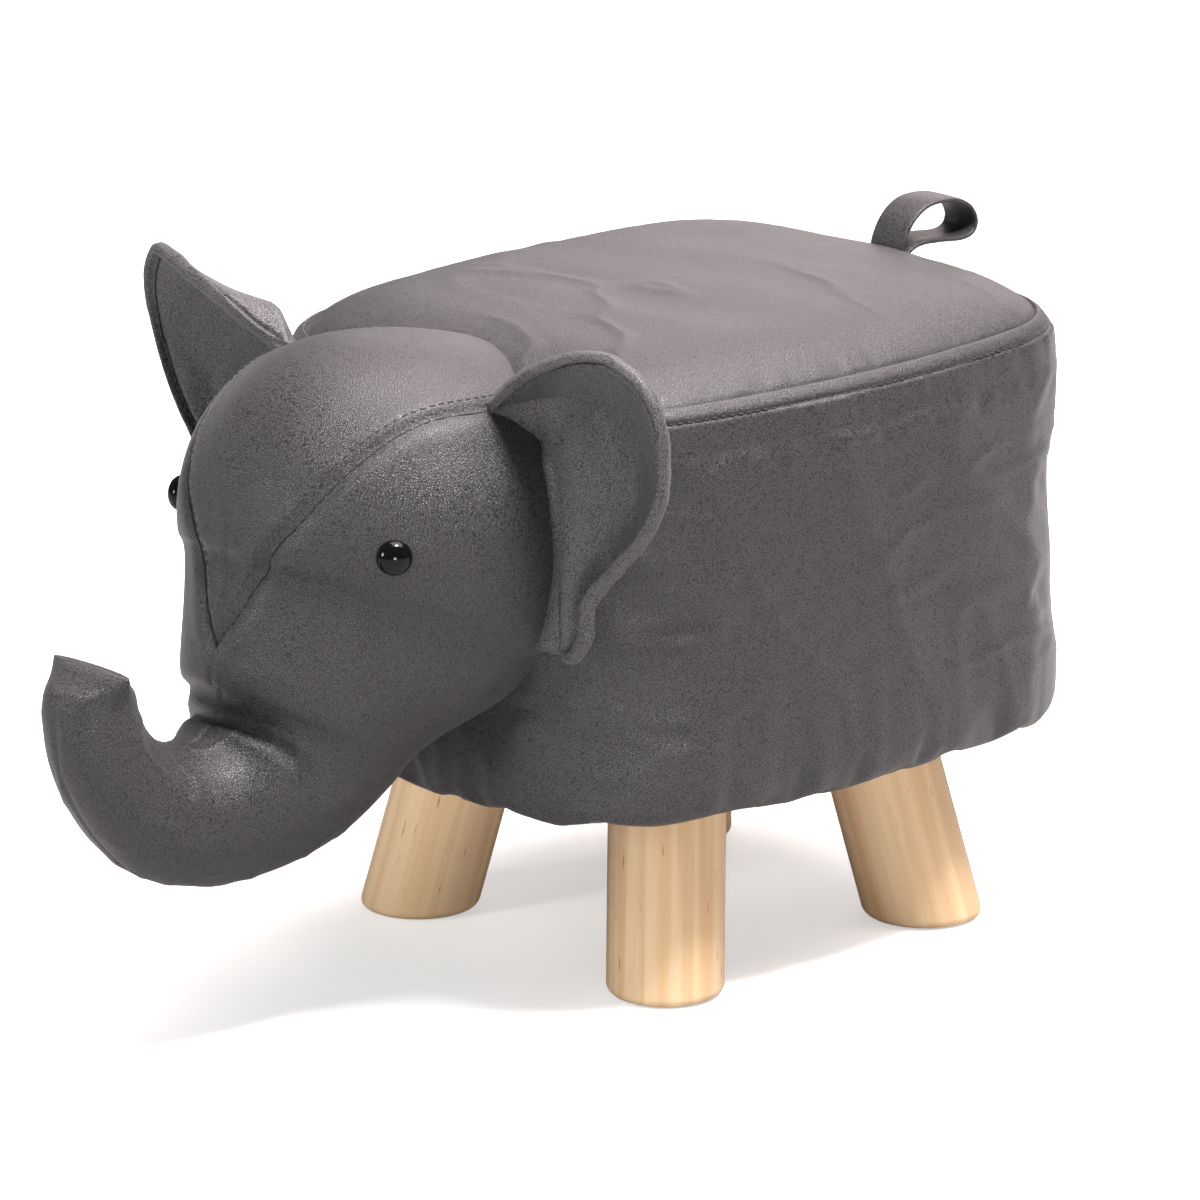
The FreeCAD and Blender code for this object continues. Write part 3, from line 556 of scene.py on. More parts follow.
@dataclass(frozen=True)
class FauxLeather:
    """Grey polyurethane faux leather: a soft satin sheen over a fine pressed pebble grain, with painted shade
    in the hollows between the pebbles.
    """

    name: str
    colour: str
    worn: str
    # Colour multiplied into the hollows between the pebbles, as painted shade
    valley_shade: str
    roughness: float
    grain: float
    pebble_height: float = 0.6

    def material(self) -> bpy.types.Material:
        """Make the material.

        Returns:
            The material.
        """
        made, tree, shader = new_material(self.name)
        place = add_node(tree, "ShaderNodeTexCoord", {}).outputs["Object"]
        # Faint cloudiness of the printed film, some 33 mm across
        cloud = add_node(tree, "ShaderNodeTexNoise", {"Scale": 30.0, "Detail": 4.0}, Vector=place)
        tones = {"data_type": "RGBA", "A": linear(self.colour), "B": linear(self.worn)}
        tone = add_node(tree, "ShaderNodeMix", tones, Factor=cloud.outputs["Fac"])
        # Pebbles pressed into the film, drawn a little coarser than the real ones so that they show
        cells = {"feature": "DISTANCE_TO_EDGE", "Scale": 1 / self.grain}
        pebbles = add_node(tree, "ShaderNodeTexVoronoi", cells, Vector=place)
        slope = {"From Min": 0.02, "From Max": 0.22, "To Min": 1.0, "To Max": 0.0}
        depth = add_node(tree, "ShaderNodeMapRange", slope, Value=pebbles.outputs["Distance"])
        # Pores, a little wider than a pebble
        pores = add_node(tree, "ShaderNodeTexNoise", {"Scale": 0.6 / self.grain, "Detail": 3.0}, Vector=place)
        height = add_node(tree, "ShaderNodeMath", {"operation": "MULTIPLY_ADD"})
        height.inputs[1].default_value = -self.pebble_height
        tree.links.new(depth.outputs["Result"], height.inputs[0])
        tree.links.new(pores.outputs["Fac"], height.inputs[2])
        relief = {"Strength": 0.9, "Distance": 0.16 * self.grain}
        bump = add_node(tree, "ShaderNodeBump", relief, Height=height.outputs[0])
        spread = {"To Min": self.roughness - 0.05, "To Max": self.roughness + 0.06}
        gloss = add_node(tree, "ShaderNodeMapRange", spread, Value=pores.outputs["Fac"])
        # Hollows between the pebbles get painted shade, darker than the pebbles, so that the grain shows
        valley_shade = add_node(
            tree,
            "ShaderNodeMix",
            {"data_type": "RGBA", "blend_type": "MULTIPLY", "B": linear(self.valley_shade)},
            Factor=depth.outputs["Result"],
            A=tone.outputs["Result"],
        )
        set_up(
            tree,
            shader,
            {"Specular IOR Level": 0.45, "Sheen Weight": 0.12, "Sheen Roughness": 0.4},
            Base_Color=valley_shade.outputs["Result"],
            Roughness=gloss.outputs["Result"],
            Normal=bump.outputs["Normal"],
        )
        return made


@dataclass(frozen=True)
class PlainFinish:
    """One even colour with a set gloss, for pieces that are small or out of sight."""

    name: str
    colour: str
    roughness: float
    metal: float = 0.0
    specular: float = 0.5

    def material(self) -> bpy.types.Material:
        """Make the material.

        Returns:
            The material.
        """
        made, tree, shader = new_material(self.name)
        look = {"Roughness": self.roughness, "Metallic": self.metal, "Specular IOR Level": self.specular}
        set_up(tree, shader, {"Base Color": linear(self.colour), **look})
        return made


@dataclass(frozen=True)
class TurnedPine:
    """Bare turned pine: pale sapwood with darker lengthwise grain, fine flecks and a matt feel."""

    name: str
    sapwood: str
    latewood: str
    fleck: str
    fibre_share: float = 0.55

    def material(self) -> bpy.types.Material:
        """Make the material; it reads the leg's own lengthwise frame from an attribute.

        Returns:
            The material.
        """
        made, tree, shader = new_material(self.name)
        place = add_node(tree, "ShaderNodeAttribute", {"attribute_name": "leg_frame"}).outputs["Vector"]
        # Everything is drawn out along the leg, by one over these shares
        ring_place, fibre_place, fleck_place = (
            add_node(tree, "ShaderNodeMapping", {"Scale": (1.0, 1.0, along)}, Vector=place).outputs["Vector"]
            for along in (0.04, 0.02, 0.12)
        )
        # Growth rings some 9 mm apart before they are bent, which fade in and out over some 17 mm
        wave = {"bands_direction": "X", "Scale": 34.0, "Distortion": 9.0, "Detail": 4.0, "Detail Scale": 1.8}
        rings = add_node(tree, "ShaderNodeTexWave", wave, Vector=ring_place)
        sway = add_node(tree, "ShaderNodeTexNoise", {"Scale": 60.0, "Detail": 3.0}, Vector=ring_place)
        # Fibres some 1.4 mm wide, coarser than real ones so that they show, and flecks of some 2.4 mm
        fibres = add_node(tree, "ShaderNodeTexNoise", {"Scale": 700.0, "Detail": 5.0}, Vector=fibre_place)
        flecks = add_node(tree, "ShaderNodeTexNoise", {"Scale": 420.0, "Detail": 2.0}, Vector=fleck_place)
        grain = add_node(tree, "ShaderNodeMath", {"operation": "MULTIPLY"})
        tree.links.new(rings.outputs["Fac"], grain.inputs[0])
        tree.links.new(sway.outputs["Fac"], grain.inputs[1])
        soft = add_node(tree, "ShaderNodeMath", {"operation": "MULTIPLY_ADD"})
        soft.inputs[1].default_value = self.fibre_share
        tree.links.new(fibres.outputs["Fac"], soft.inputs[0])
        tree.links.new(grain.outputs[0], soft.inputs[2])
        contrast = {"From Min": 0.15, "From Max": 1.0}
        band = add_node(tree, "ShaderNodeMapRange", contrast, Value=soft.outputs[0])
        tones = {"data_type": "RGBA", "A": linear(self.sapwood), "B": linear(self.latewood)}
        wood = add_node(tree, "ShaderNodeMix", tones, Factor=band.outputs["Result"])
        spots = {"From Min": 0.68, "From Max": 0.76, "To Max": 0.7}
        dots = add_node(tree, "ShaderNodeMapRange", spots, Value=flecks.outputs["Fac"])
        spotted = add_node(
            tree,
            "ShaderNodeMix",
            {"data_type": "RGBA", "B": linear(self.fleck)},
            Factor=dots.outputs["Result"],
            A=wood.outputs["Result"],
        )
        relief = {"Strength": 0.25, "Distance": 0.2 * MM}
        bump = add_node(tree, "ShaderNodeBump", relief, Height=fibres.outputs["Fac"])
        set_up(
            tree,
            shader,
            {"Roughness": 0.62, "Specular IOR Level": 0.3},
            Base_Color=spotted.outputs["Result"],
            Normal=bump.outputs["Normal"],
        )
        return made


# Each leather's fourth colour is painted shade for the hollows of its grain
COVER = FauxLeather("grey_faux_leather_pebbled", "#413f42", "#474548", "#77757a", 0.41, 1.05 * MM)
# The ears take the cover's grey leather painted lighter than the cover, as painted light on their faces
EAR_LEATHER_PAINTED_LIGHTER = FauxLeather("grey_faux_leather_ear_lining", "#5e5c5f", "#666467", "#77757a", 0.38, 1.05 * MM)
PINE = TurnedPine("bare_pine_turned", "#f0d2ac", "#dfb78a", "#7d4f2b")
THREAD = PlainFinish("polyester_thread_grey", "#3b3839", 0.6)
# Near-black cords along the seams and stitching: painted shadow of their grooves
SEAM_SHADE = PlainFinish("painted_seam_shadow", "#191718", 0.8)
EYE = PlainFinish("black_moulded_plastic_polished", "#0b0a0a", 0.1, specular=0.25)
DUST_CLOTH = PlainFinish("black_spunbond_cloth", "#1d1c1d", 0.9)
PLYWOOD = PlainFinish("birch_plywood_sawn", "#c7a878", 0.7)
STEEL = PlainFinish("zinc_plated_steel", "#a9abad", 0.35, metal=1.0)
WASHER = PlainFinish("white_moulded_plastic", "#d8d8d6", 0.5)

Finish = FauxLeather | PlainFinish | TurnedPine


@dataclass
class Workshop:
    """The finishes once made, and the way of giving one to a piece."""

    made: dict[str, bpy.types.Material] = field(default_factory=dict)

    def finish(self, piece: bpy.types.Object, finish: Finish, slot: Slot) -> bpy.types.Object:
        """Give a piece one finish.

        Args:
            piece: Piece to dress.
            finish: Finish to use.
            slot: Slot of the record that the finish belongs to; not used.

        Returns:
            The same piece.
        """
        if finish.name not in self.made:
            self.made[finish.name] = finish.material()
        piece.data.materials.clear()
        piece.data.materials.append(self.made[finish.name])
        return piece


WORKSHOP = Workshop()


# Sewing


@dataclass(frozen=True)
class Stitching:
    """A row of lock stitches that lies in the leather; a stitch is full from shoulder to shoulder."""

    pitch: float = 4.2 * MM
    length: float = 3.0 * MM
    width: float = 0.9 * MM
    height: float = 0.5 * MM
    shoulder: float = 0.28

    def row(self, name: str, line: Array, normals: Array) -> bpy.types.Object:
        """Sew a row along a line.

        Args:
            name: Name of the piece.
            line: Points of the line on the surface.
            normals: Surface normals at the points.

        Returns:
            All the stitches as one piece.
        """
        total = float(np.linalg.norm(np.diff(line, axis=0), axis=1).sum())
        count = max(int(total / self.pitch), 2)
        spots = resample(np.hstack([line, normals]), 2 * count + 1)
        points, faces = [], []
        for index in range(count):
            middle = spots[2 * index + 1]
            place, normal = middle[:3], unit(middle[3:])
            ahead = unit(spots[2 * index + 2][:3] - spots[2 * index][:3])
            aside = np.cross(normal, ahead)
            start = len(points)
            points.append(place - ahead * self.length / 2)
            for share in (-self.shoulder, self.shoulder):
                for across, up in ((1, 0), (0, 1), (-1, 0), (0, -1)):
                    lift = normal * up * self.height + aside * across * self.width / 2
                    points.append(place + ahead * self.length * share + lift)
            points.append(place + ahead * self.length / 2)
            for corner in range(4):
                after = (corner + 1) % 4
                faces.append((start, start + 1 + after, start + 1 + corner))
                faces.append((start + 1 + corner, start + 1 + after, start + 5 + after, start + 5 + corner))
                faces.append((start + 9, start + 5 + corner, start + 5 + after))
        return WORKSHOP.finish(skin(name, np.array(points), faces), THREAD, Slot.COVER)


STITCHING = Stitching()


# Seat


@dataclass(frozen=True)
class SeatPlan:
    """Outline of the seat seam: a rectangle with bowed sides and round corners."""

    half_width: float = 120 * MM
    half_length: float = 143 * MM
    bow: float = 500 * MM
    corner: float = 55 * MM
    corner_x: float = 56.9 * MM
    corner_y: float = 84.3 * MM
    steps: int = 4000

    def at(self, angle: float) -> tuple[float, float]:
        """Point whose outward normal has a given direction.

        Args:
            angle: Direction of the normal, from the animal's left towards its back.

        Returns:
            Place from the middle of the seat.
        """
        cosine, sine = math.cos(angle), math.sin(angle)
        side_end = math.atan2(self.corner_y, self.bow - self.half_width + self.corner_x)
        end_start = math.atan2(self.bow - self.half_length + self.corner_y, self.corner_x)
        quarter = math.atan2(abs(sine), abs(cosine))
        if quarter < side_end:
            x, y = self.half_width - self.bow + self.bow * abs(cosine), self.bow * abs(sine)
        elif quarter > end_start:
            x, y = self.bow * abs(cosine), self.half_length - self.bow + self.bow * abs(sine)
        else:
            x, y = self.corner_x + self.corner * abs(cosine), self.corner_y + self.corner * abs(sine)
        return math.copysign(x, cosine), math.copysign(y, sine)

    def outline(self, count: int) -> tuple[Array, Array]:
        """Points along the seam in equal steps.

        Args:
            count: Number of points.

        Returns:
            Points and outward normals, with two columns each.
        """
        angles = np.linspace(0, 2 * math.pi, self.steps + 1)
        dense = np.array([[*self.at(angle), math.cos(angle), math.sin(angle)] for angle in angles])
        spots = resample(dense, count + 1, 2)[:-1]
        return spots[:, :2] + np.array([0, SEAT_BACK]), unit(spots[:, 2:])


@dataclass
class SeatCover:
    """Gathered side band and crowned top of the seat, sewn together."""

    plan: SeatPlan = field(default_factory=SeatPlan)
    seam: float = 264 * MM
    crown: float = 18 * MM
    around: int = 400
    wall_rows: int = 85
    fell_rows: int = 44
    slack: float = 0.012
    padding: float = 2.0
    sag: float = 2.0 * MM

    # Side band from the hem under the frame to the topstitch: growth beyond the seam, and height
    WALL = (
        *((-9, 89.6), (-3, 88.5), (3, 88.0), (7.4, 89.4), (9.8, 93), (10.8, 100)),
        *((10.8, 112), (9.6, 140), (8.7, 180), (8.2, 215), (7.9, 238), (7.6, 248)),
    )
    # Flat felled edge from below the topstitch to the seam, which closes over its last stretch
    FELL = (
        *((7.6, 248), (6.9, 254), (6.0, 258), (4.7, 260.9)),
        *((3.0, 262.9), (1.3, 264.2), (0.4, 264.3), (0.0, 263.2)),
    )
    CLOSING = 2.5 * MM
    TOPSTITCH = 258.6 * MM
    STITCH_DEPTH = 0.9 * MM
    STITCH_WIDTH = 0.9 * MM
    # Gathers and flutes of the hem: how far up they reach, and how far they lift its edge
    HEM = 88 * MM
    HEM_REACH = 14 * MM
    LOW_REACH = 34 * MM
    HEM_GATHER = 3.0 * MM
    HEM_FLUTE = 1.4 * MM
    GATHER = Ripple(2.2 * MM, (24 * MM, 24 * MM, 400 * MM), 3.1)
    FLUTE = Ripple(2.0 * MM, (11 * MM, 11 * MM, 80 * MM), 7.7)
    # Puckers under the seam, which the felled edge calms
    PUCKER = Ripple(1.2 * MM, (5.5 * MM, 5.5 * MM, 60 * MM), 1.9)
    PUCKER_REACH = 9 * MM
    FELL_CALM = 0.6
    # Folds and creases that run at a slant: the shift sideways for each metre above a level
    FOLD = Ripple(1.6 * MM, (42 * MM, 42 * MM, 110 * MM), 5.3)
    CREASE = Ripple(0.8 * MM, (34 * MM, 34 * MM, 70 * MM), 11.3, narrow=2.2)
    SLANT = 2.4
    SLANT_LEVEL = 170 * MM
    # Lengthwise wrinkles where the leather is loose
    WRINKLE = Ripple(1.0 * MM, (60 * MM, 60 * MM, 15 * MM), 14.2, narrow=2.8)
    WRINKLE_SLANT = 1.1
    LOOSE = Ripple(1.0, (75 * MM, 75 * MM, 50 * MM), 17.9)
    LOOSE_FROM = (-0.05, 0.3)

    # Rows of the top, as shares of the outline: close ones near the seam, then even ones
    RIM_WIDTH = 0.2
    RIM_ROWS = 40
    RIM_EASE = 1.8
    FIELD = (0.79, 0.02)
    FIELD_ROWS = 60
    MEAN_HALF = 125 * MM
    # Crown that rises within a reach of the seam, and the dip of the seam itself
    CROWN_REACH = 18 * MM
    SEAM_DIP = 0.8 * MM
    SEAM_DIP_REACH = 0.7 * MM
    # Puckers of the top beside the seam, soft waves, and wrinkles in patches
    TOP_PUCKER = Ripple(0.9 * MM, (6.5 * MM, 6.5 * MM, 30 * MM), 2.3)
    TOP_PUCKER_REACH = 13 * MM
    TOP_PUCKER_START = 2 * MM
    TOP_PUCKER_STRETCH = 0.35
    TOP_WAVE = Ripple(1.0 * MM, (55 * MM, 38 * MM, 1), 9.1)
    TOP_WRINKLE = Ripple(0.8 * MM, (60 * MM, 26 * MM, 1), 4.4, narrow=3.2)
    TOP_WRINKLE_START = 10 * MM
    TOP_PATCH = Ripple(1.0, (70 * MM, 60 * MM, 1), 12.7)
    TOP_PATCH_FROM = (-0.1, 0.35)

    def build(self) -> None:
        """Make the two panels and the row of stitches."""
        outline, normals = self.plan.outline(self.around)
        girth = np.linalg.norm(np.diff(outline, axis=0, append=outline[:1]), axis=1).sum()
        turn = np.linspace(0, 2 * math.pi, self.around, endpoint=False)
        reach = girth / (2 * math.pi)
        round_trip = np.column_stack([np.cos(turn) * reach, np.sin(turn) * reach])
        self.build_band(outline, normals, round_trip)
        self.build_top(outline, round_trip)

    def build_band(self, outline: Array, normals: Array, round_trip: Array) -> None:
        """Make the side band with its gathers, folds and puckers, and let it settle as cloth.

        Args:
            outline: Points along the seam.
            normals: Outward normals there.
            round_trip: The same points laid on a circle, for noise that closes on itself.
        """
        wall = spline(np.array(self.WALL) * MM, self.wall_rows + 1, 2)
        profile = np.vstack([wall[:-1], spline(np.array(self.FELL) * MM, self.fell_rows, 2)])
        net = np.zeros((len(profile), self.around, 3))
        for row, (grow, height) in enumerate(profile):
            push, lift = self.band_relief(grow, height, round_trip)
            net[row, :, :2] = outline + normals * (grow + push)[:, None]
            net[row, :, 2] = height + lift
        # The cloth has half the rows and columns; the points between take part in its movement
        move = drape(net[: self.wall_rows : 2, ::2], self.slack, self.padding, self.sag)
        move = with_midpoints(move, False).swapaxes(0, 1)
        net[: self.wall_rows] += with_midpoints(move, True).swapaxes(0, 1)
        piece = skin("seat_side_band", net.reshape(-1, 3), net_faces(len(profile), self.around, True))
        WORKSHOP.finish(piece, COVER, Slot.COVER)
        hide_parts("side_panel", "side_foam", "wall_band")
        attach(piece, Body.STOOL.value)
        stitched = int(np.argmin(np.abs(profile[:, 1] - self.TOPSTITCH)))
        line = np.vstack([net[stitched], net[stitched][:1]])
        outward = net_normals(net, True)[stitched]
        outward = outward * np.sign((outward[:, :2] * normals).sum(1))[:, None]
        row = STITCHING.row("seat_topstitch", line, np.vstack([outward, outward[:1]]))
        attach(row, Body.STOOL.value)

    def band_relief(self, grow: float, height: float, round_trip: Array) -> tuple[Array, Array]:
        """Unevenness of the side band at one height.

        Args:
            grow: Growth beyond the seam there.
            height: Height above the floor.
            round_trip: Points along the seam, laid on a circle.

        Returns:
            How far the leather stands out, and how far it is lifted.
        """
        level = np.column_stack([round_trip, np.full(self.around, height)])
        sideways = np.column_stack([-round_trip[:, 1], round_trip[:, 0], np.zeros(self.around)])
        slanted = level + sideways * (height - self.SLANT_LEVEL) * self.SLANT
        hem, low = fade(height - self.HEM, self.HEM_REACH), fade(height - self.HEM, self.LOW_REACH)
        fell = 1.0 if height > self.TOPSTITCH else 0.0
        sewn = min(1, grow / self.CLOSING) if fell else 1.0
        under_seam = fade(self.TOPSTITCH - height, self.PUCKER_REACH) * (1 - self.FELL_CALM * fell)
        gather, flute = self.GATHER.noise(level), self.FLUTE.noise(level)
        push = self.GATHER.height * low * gather + self.FLUTE.height * low * flute
        push += self.PUCKER.height * under_seam * self.PUCKER.noise(level)
        folds = self.FOLD.height * self.FOLD.noise(slanted) * (1 - hem) * (1 - fell)
        push += folds + self.CREASE.height * self.CREASE.ridges(slanted) ** 2 * (1 - fell)
        wrinkles = self.WRINKLE.ridges(level + sideways * height * self.WRINKLE_SLANT)
        loose = smooth_step(*self.LOOSE_FROM, self.LOOSE.noise(level))
        push += self.WRINKLE.height * wrinkles**2 * loose * (1 - fell) * (1 - hem)
        push -= self.STITCH_DEPTH * hump(height - self.TOPSTITCH, self.STITCH_WIDTH)
        return push * sewn, self.HEM_GATHER * hem * gather + self.HEM_FLUTE * hem * flute

    def build_top(self, outline: Array, round_trip: Array) -> None:
        """Make the crowned top with its puckers and soft wrinkles.

        Args:
            outline: Points along the seam.
            round_trip: The same points laid on a circle, for noise that closes on itself.
        """
        centre = np.array([0, SEAT_BACK])
        rim = 1 - self.RIM_WIDTH * np.linspace(0, 1, self.RIM_ROWS) ** self.RIM_EASE
        shares = np.concatenate([rim, np.linspace(*self.FIELD, self.FIELD_ROWS)])
        net = np.zeros((len(shares), self.around, 3))
        for row, share in enumerate(shares):
            flat = centre + (outline - centre) * share
            inward = (1 - share) * self.MEAN_HALF
            level = np.column_stack([round_trip, np.full(self.around, inward * self.TOP_PUCKER_STRETCH)])
            near = fade(inward, self.TOP_PUCKER_REACH) * min(1, inward / self.TOP_PUCKER_START)
            wide = min(1, inward / self.TOP_WRINKLE_START)
            spread = np.column_stack([flat, np.zeros(self.around)])
            patch = smooth_step(*self.TOP_PATCH_FROM, self.TOP_PATCH.noise(spread))
            rise = self.crown * (1 - fade(inward, self.CROWN_REACH))
            rise -= self.SEAM_DIP * fade(inward, self.SEAM_DIP_REACH)
            puckers = self.TOP_PUCKER.height * near * self.TOP_PUCKER.noise(level)
            waves = self.TOP_WAVE.height * self.TOP_WAVE.noise(spread) * (1 - near)
            wrinkles = self.TOP_WRINKLE.height * wide * patch * self.TOP_WRINKLE.ridges(spread) ** 2
            net[row, :, :2] = flat
            net[row, :, 2] = self.seam + rise + puckers + waves + wrinkles
        points = np.vstack([net.reshape(-1, 3), [*centre, net[-1, :, 2].mean()]])
        faces = net_faces(len(shares), self.around, True)
        last = (len(shares) - 1) * self.around
        tip = len(points) - 1
        faces += [(last + place, last + (place + 1) % self.around, tip) for place in range(self.around)]
        piece = skin("seat_top", points, faces)
        WORKSHOP.finish(piece, COVER, Slot.COVER)
        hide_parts("top_panel", "seat_foam")
        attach(piece, Body.STOOL.value)


# Head and trunk


@dataclass
class HeadCover:
    """Stuffed head that runs on into the curled trunk, with the leaf-shaped forehead panel sewn in."""

    middle: tuple[float, float] = (-92 * MM, 211 * MM)
    ball: float = 75 * MM
    cheek: float = 92 * MM
    cheek_back: float = 26 * MM
    curl: tuple[float, float] = (-180 * MM, 160 * MM)
    curl_radius: float = 58.5 * MM
    curl_start: float = math.radians(24)
    curl_end: float = math.radians(183)
    root: float = 53 * MM
    tip: float = 18.5 * MM
    brow_tilt: float = math.radians(50)
    rings: int = 230
    around: int = 200
    surface: BVHTree | None = None

    # Sections of the ball from its crown to the trunk, in radii below its middle, and where they turn from
    LEVELS = (-1.0, -0.985, -0.94, -0.86, -0.75, -0.6, -0.4, -0.2, 0.0, 0.18, 0.36, 0.53)
    TURN_FROM = -0.975
    CROWN_END = 0.4 * MM
    # Share of the cheeks' width at levels below the middle
    CHEEK_LEVELS = (0, 0.28, 0.53)
    CHEEK_SHARES = (1, 0.85, 0.45)
    TRUNK_SECTIONS = 12
    TRUNK_TAPER = 0.85
    # Flattened end of the trunk: rise, half width and half depth, and how far back it stays smooth
    LIP = ((5, 21.0, 12.5), (8.5, 23, 7.5), (11, 23.6, 4.0))
    LIP_CALM = 22 * MM

    # Forehead panel from its point to the seat: height along it from the middle of the head, and half width
    LEAF = (
        *((-88, 0), (-77, 9), (-65, 16), (-53, 25), (-39, 36), (-22, 44)),
        *((0, 51), (19, 56), (33, 60), (46, 62), (80, 60)),
    )
    LEAF_POINTS = 120
    LEAF_FRONT = -10 * MM
    FAR_AWAY = 1.0
    # Seam round the panel: its upper end, its end at the seat, its near-black cord of painted shadow, and the
    # topstitch inside it
    SEAM_TOP = 74 * MM
    SEAM_END = -66 * MM
    SEAM_POINTS = 150
    SEAM_CORD = 0.75 * MM
    SEAM_CORD_OUT = 0.4 * MM
    STITCH_INSET = 4.3 * MM
    STITCH_START = 1.8

    # Groove of the seams with the swell beside it, and the shallower seam under the trunk
    GROOVE = 1.7 * MM
    GROOVE_WIDTH = 1.6 * MM
    SWELL = 0.8 * MM
    SWELL_AT = 6 * MM
    SWELL_WIDTH = 5 * MM
    TRUNK_GROOVE = 0.8 * MM
    TRUNK_GROOVE_FROM = (math.radians(8), math.radians(20))
    # Crease where the trunk bends up, on its inner side, with a roll of leather on either side
    BEND = math.radians(66)
    BEND_SWAY = 0.12
    BEND_SWAYS = 3
    BEND_INNER = (0.6, 0.55)
    BEND_INNER_FROM = (0.3, 0.9)
    BEND_CREASE = 2.2 * MM
    BEND_CREASE_WIDTH = 0.08
    BEND_ROLL = 1.0 * MM
    BEND_ROLL_AT = 0.17
    BEND_ROLL_WIDTH = 0.12
    # Lumps of the stuffing, wrinkles of the trunk, puckers beside the seam, and the lower cheeks
    LUMP = Ripple(1.3 * MM, (46 * MM, 46 * MM, 46 * MM), 6.2)
    WRINKLE = Ripple(0.7 * MM, (22 * MM, 22 * MM, 30 * MM), 8.8, narrow=2.4)
    WRINKLE_FROM = (math.radians(26), math.radians(60))
    PUCKER = Ripple(0.3 * MM, (5 * MM, 5 * MM, 5 * MM), 2.2)
    PUCKER_REACH = 9 * MM
    JOWL = 12 * MM
    JOWL_AT = (66, -78, 150)
    JOWL_WIDTH = 34 * MM

    def stations(self) -> Array:
        """Sections from the crown to the lip.

        Returns:
            Rows of centre y and z, turn, half width and half depth.
        """
        rows = []
        for share in self.LEVELS:
            turn = self.curl_start * max(share - self.TURN_FROM, 0) / (self.LEVELS[-1] - self.TURN_FROM)
            half = max(self.ball * math.sqrt(max(1 - share**2, 0)), self.CROWN_END)
            cheek = float(np.interp(share, self.CHEEK_LEVELS, self.CHEEK_SHARES))
            wide = half * (1 + cheek * (self.cheek / self.ball - 1))
            deeper = half * cheek * self.cheek_back / self.ball
            y = self.middle[0] - math.sin(turn) * self.ball * share + math.cos(turn) * deeper
            z = self.middle[1] - math.cos(turn) * self.ball * share - math.sin(turn) * deeper
            rows.append((y, z, turn, wide, half + deeper))
        for along in np.linspace(0, 1, self.TRUNK_SECTIONS):
            turn = self.curl_start + (self.curl_end - self.curl_start) * along
            half = self.root * (self.tip / self.root) ** (along**self.TRUNK_TAPER)
            y = self.curl[0] + math.cos(turn) * self.curl_radius
            z = self.curl[1] - math.sin(turn) * self.curl_radius
            rows.append((y, z, turn, half, half))
        y, z, turn = rows[-1][:3]
        for rise, width, depth in np.array(self.LIP) * MM:
            rows.append((y - math.sin(turn) * rise, z - math.cos(turn) * rise, turn, width, depth))
        return np.array(rows)

    def brow_axes(self) -> tuple[Array, Array]:
        """Directions of the forehead panel.

        Returns:
            Upwards along the panel, and square out of it.
        """
        up = np.array([0, math.sin(self.brow_tilt), math.cos(self.brow_tilt)])
        out = np.array([0, -math.cos(self.brow_tilt), math.sin(self.brow_tilt)])
        return up, out

    def seam_line(self, side: Side, inset: float) -> tuple[Array, Array]:
        """Lay one side of the forehead seam on the finished head.

        Args:
            side: Side of the animal.
            inset: How far inside the seam the line runs.

        Returns:
            Points and outward normals.
        """
        up, out = self.brow_axes()
        points, normals = [], []
        start = self.LEAF[0][0] * MM + inset * self.STITCH_START
        for height in np.linspace(start, self.SEAM_TOP, self.SEAM_POINTS):
            across = float(self.leaf_half(height)) - inset
            outside = np.array([side.value * across, *self.middle]) + up * height + out * RAY_START
            hit, normal, _, _ = self.surface.ray_cast(Vector(outside), Vector(-out))
            if hit is not None and hit.y < self.SEAM_END:
                points.append(hit)
                normals.append(normal)
        return np.array(points), np.array(normals)

    def leaf_half(self, height: Array) -> Array:
        """Half width of the forehead panel at heights along it.

        Args:
            height: Heights from the middle of the head.

        Returns:
            Half widths.
        """
        outline = spline(np.array(self.LEAF) * MM, self.LEAF_POINTS, 2)
        return np.interp(height, outline[:, 0], outline[:, 1])

    def leaf_distance(self, points: Array) -> Array:
        """Distance of points from the forehead seam, seen square to the panel.

        Args:
            points: Points on the head.

        Returns:
            Distances, negative on the panel and far away on the back of the head.
        """
        up, out = self.brow_axes()
        local = points - np.array([0, *self.middle])
        across, height, front = np.abs(local[:, 0]), local @ up, local @ out
        tip, step = self.LEAF[0][0] * MM, 1 * MM
        slope = (self.leaf_half(height + step) - self.leaf_half(height - step)) / (2 * step)
        edge = (across - self.leaf_half(height)) / np.hypot(1, slope)
        edge = np.where(height < tip, np.hypot(across, height - tip), edge)
        return np.where(front > self.LEAF_FRONT, edge, self.FAR_AWAY)

    def form(self, path: Array, angles: Array) -> tuple[Array, Array]:
        """Plain form of the head and trunk.

        Args:
            path: Sections along the centre line.
            angles: Angles round each section.

        Returns:
            Points and outward normals, by row and column.
        """
        net = np.zeros((len(path), len(angles), 3))
        for row, (y, z, turn, width, depth) in enumerate(path):
            outward = depth * np.sin(angles)
            net[row, :, 0] = width * np.cos(angles)
            net[row, :, 1] = y + math.cos(turn) * outward
            net[row, :, 2] = z - math.sin(turn) * outward
        normals = net_normals(net, True)
        pointing = (net[..., 1:] - path[:, None, :2]) * normals[..., 1:]
        return net, normals * np.sign((pointing.sum(2) + net[..., 0] * normals[..., 0]).mean())

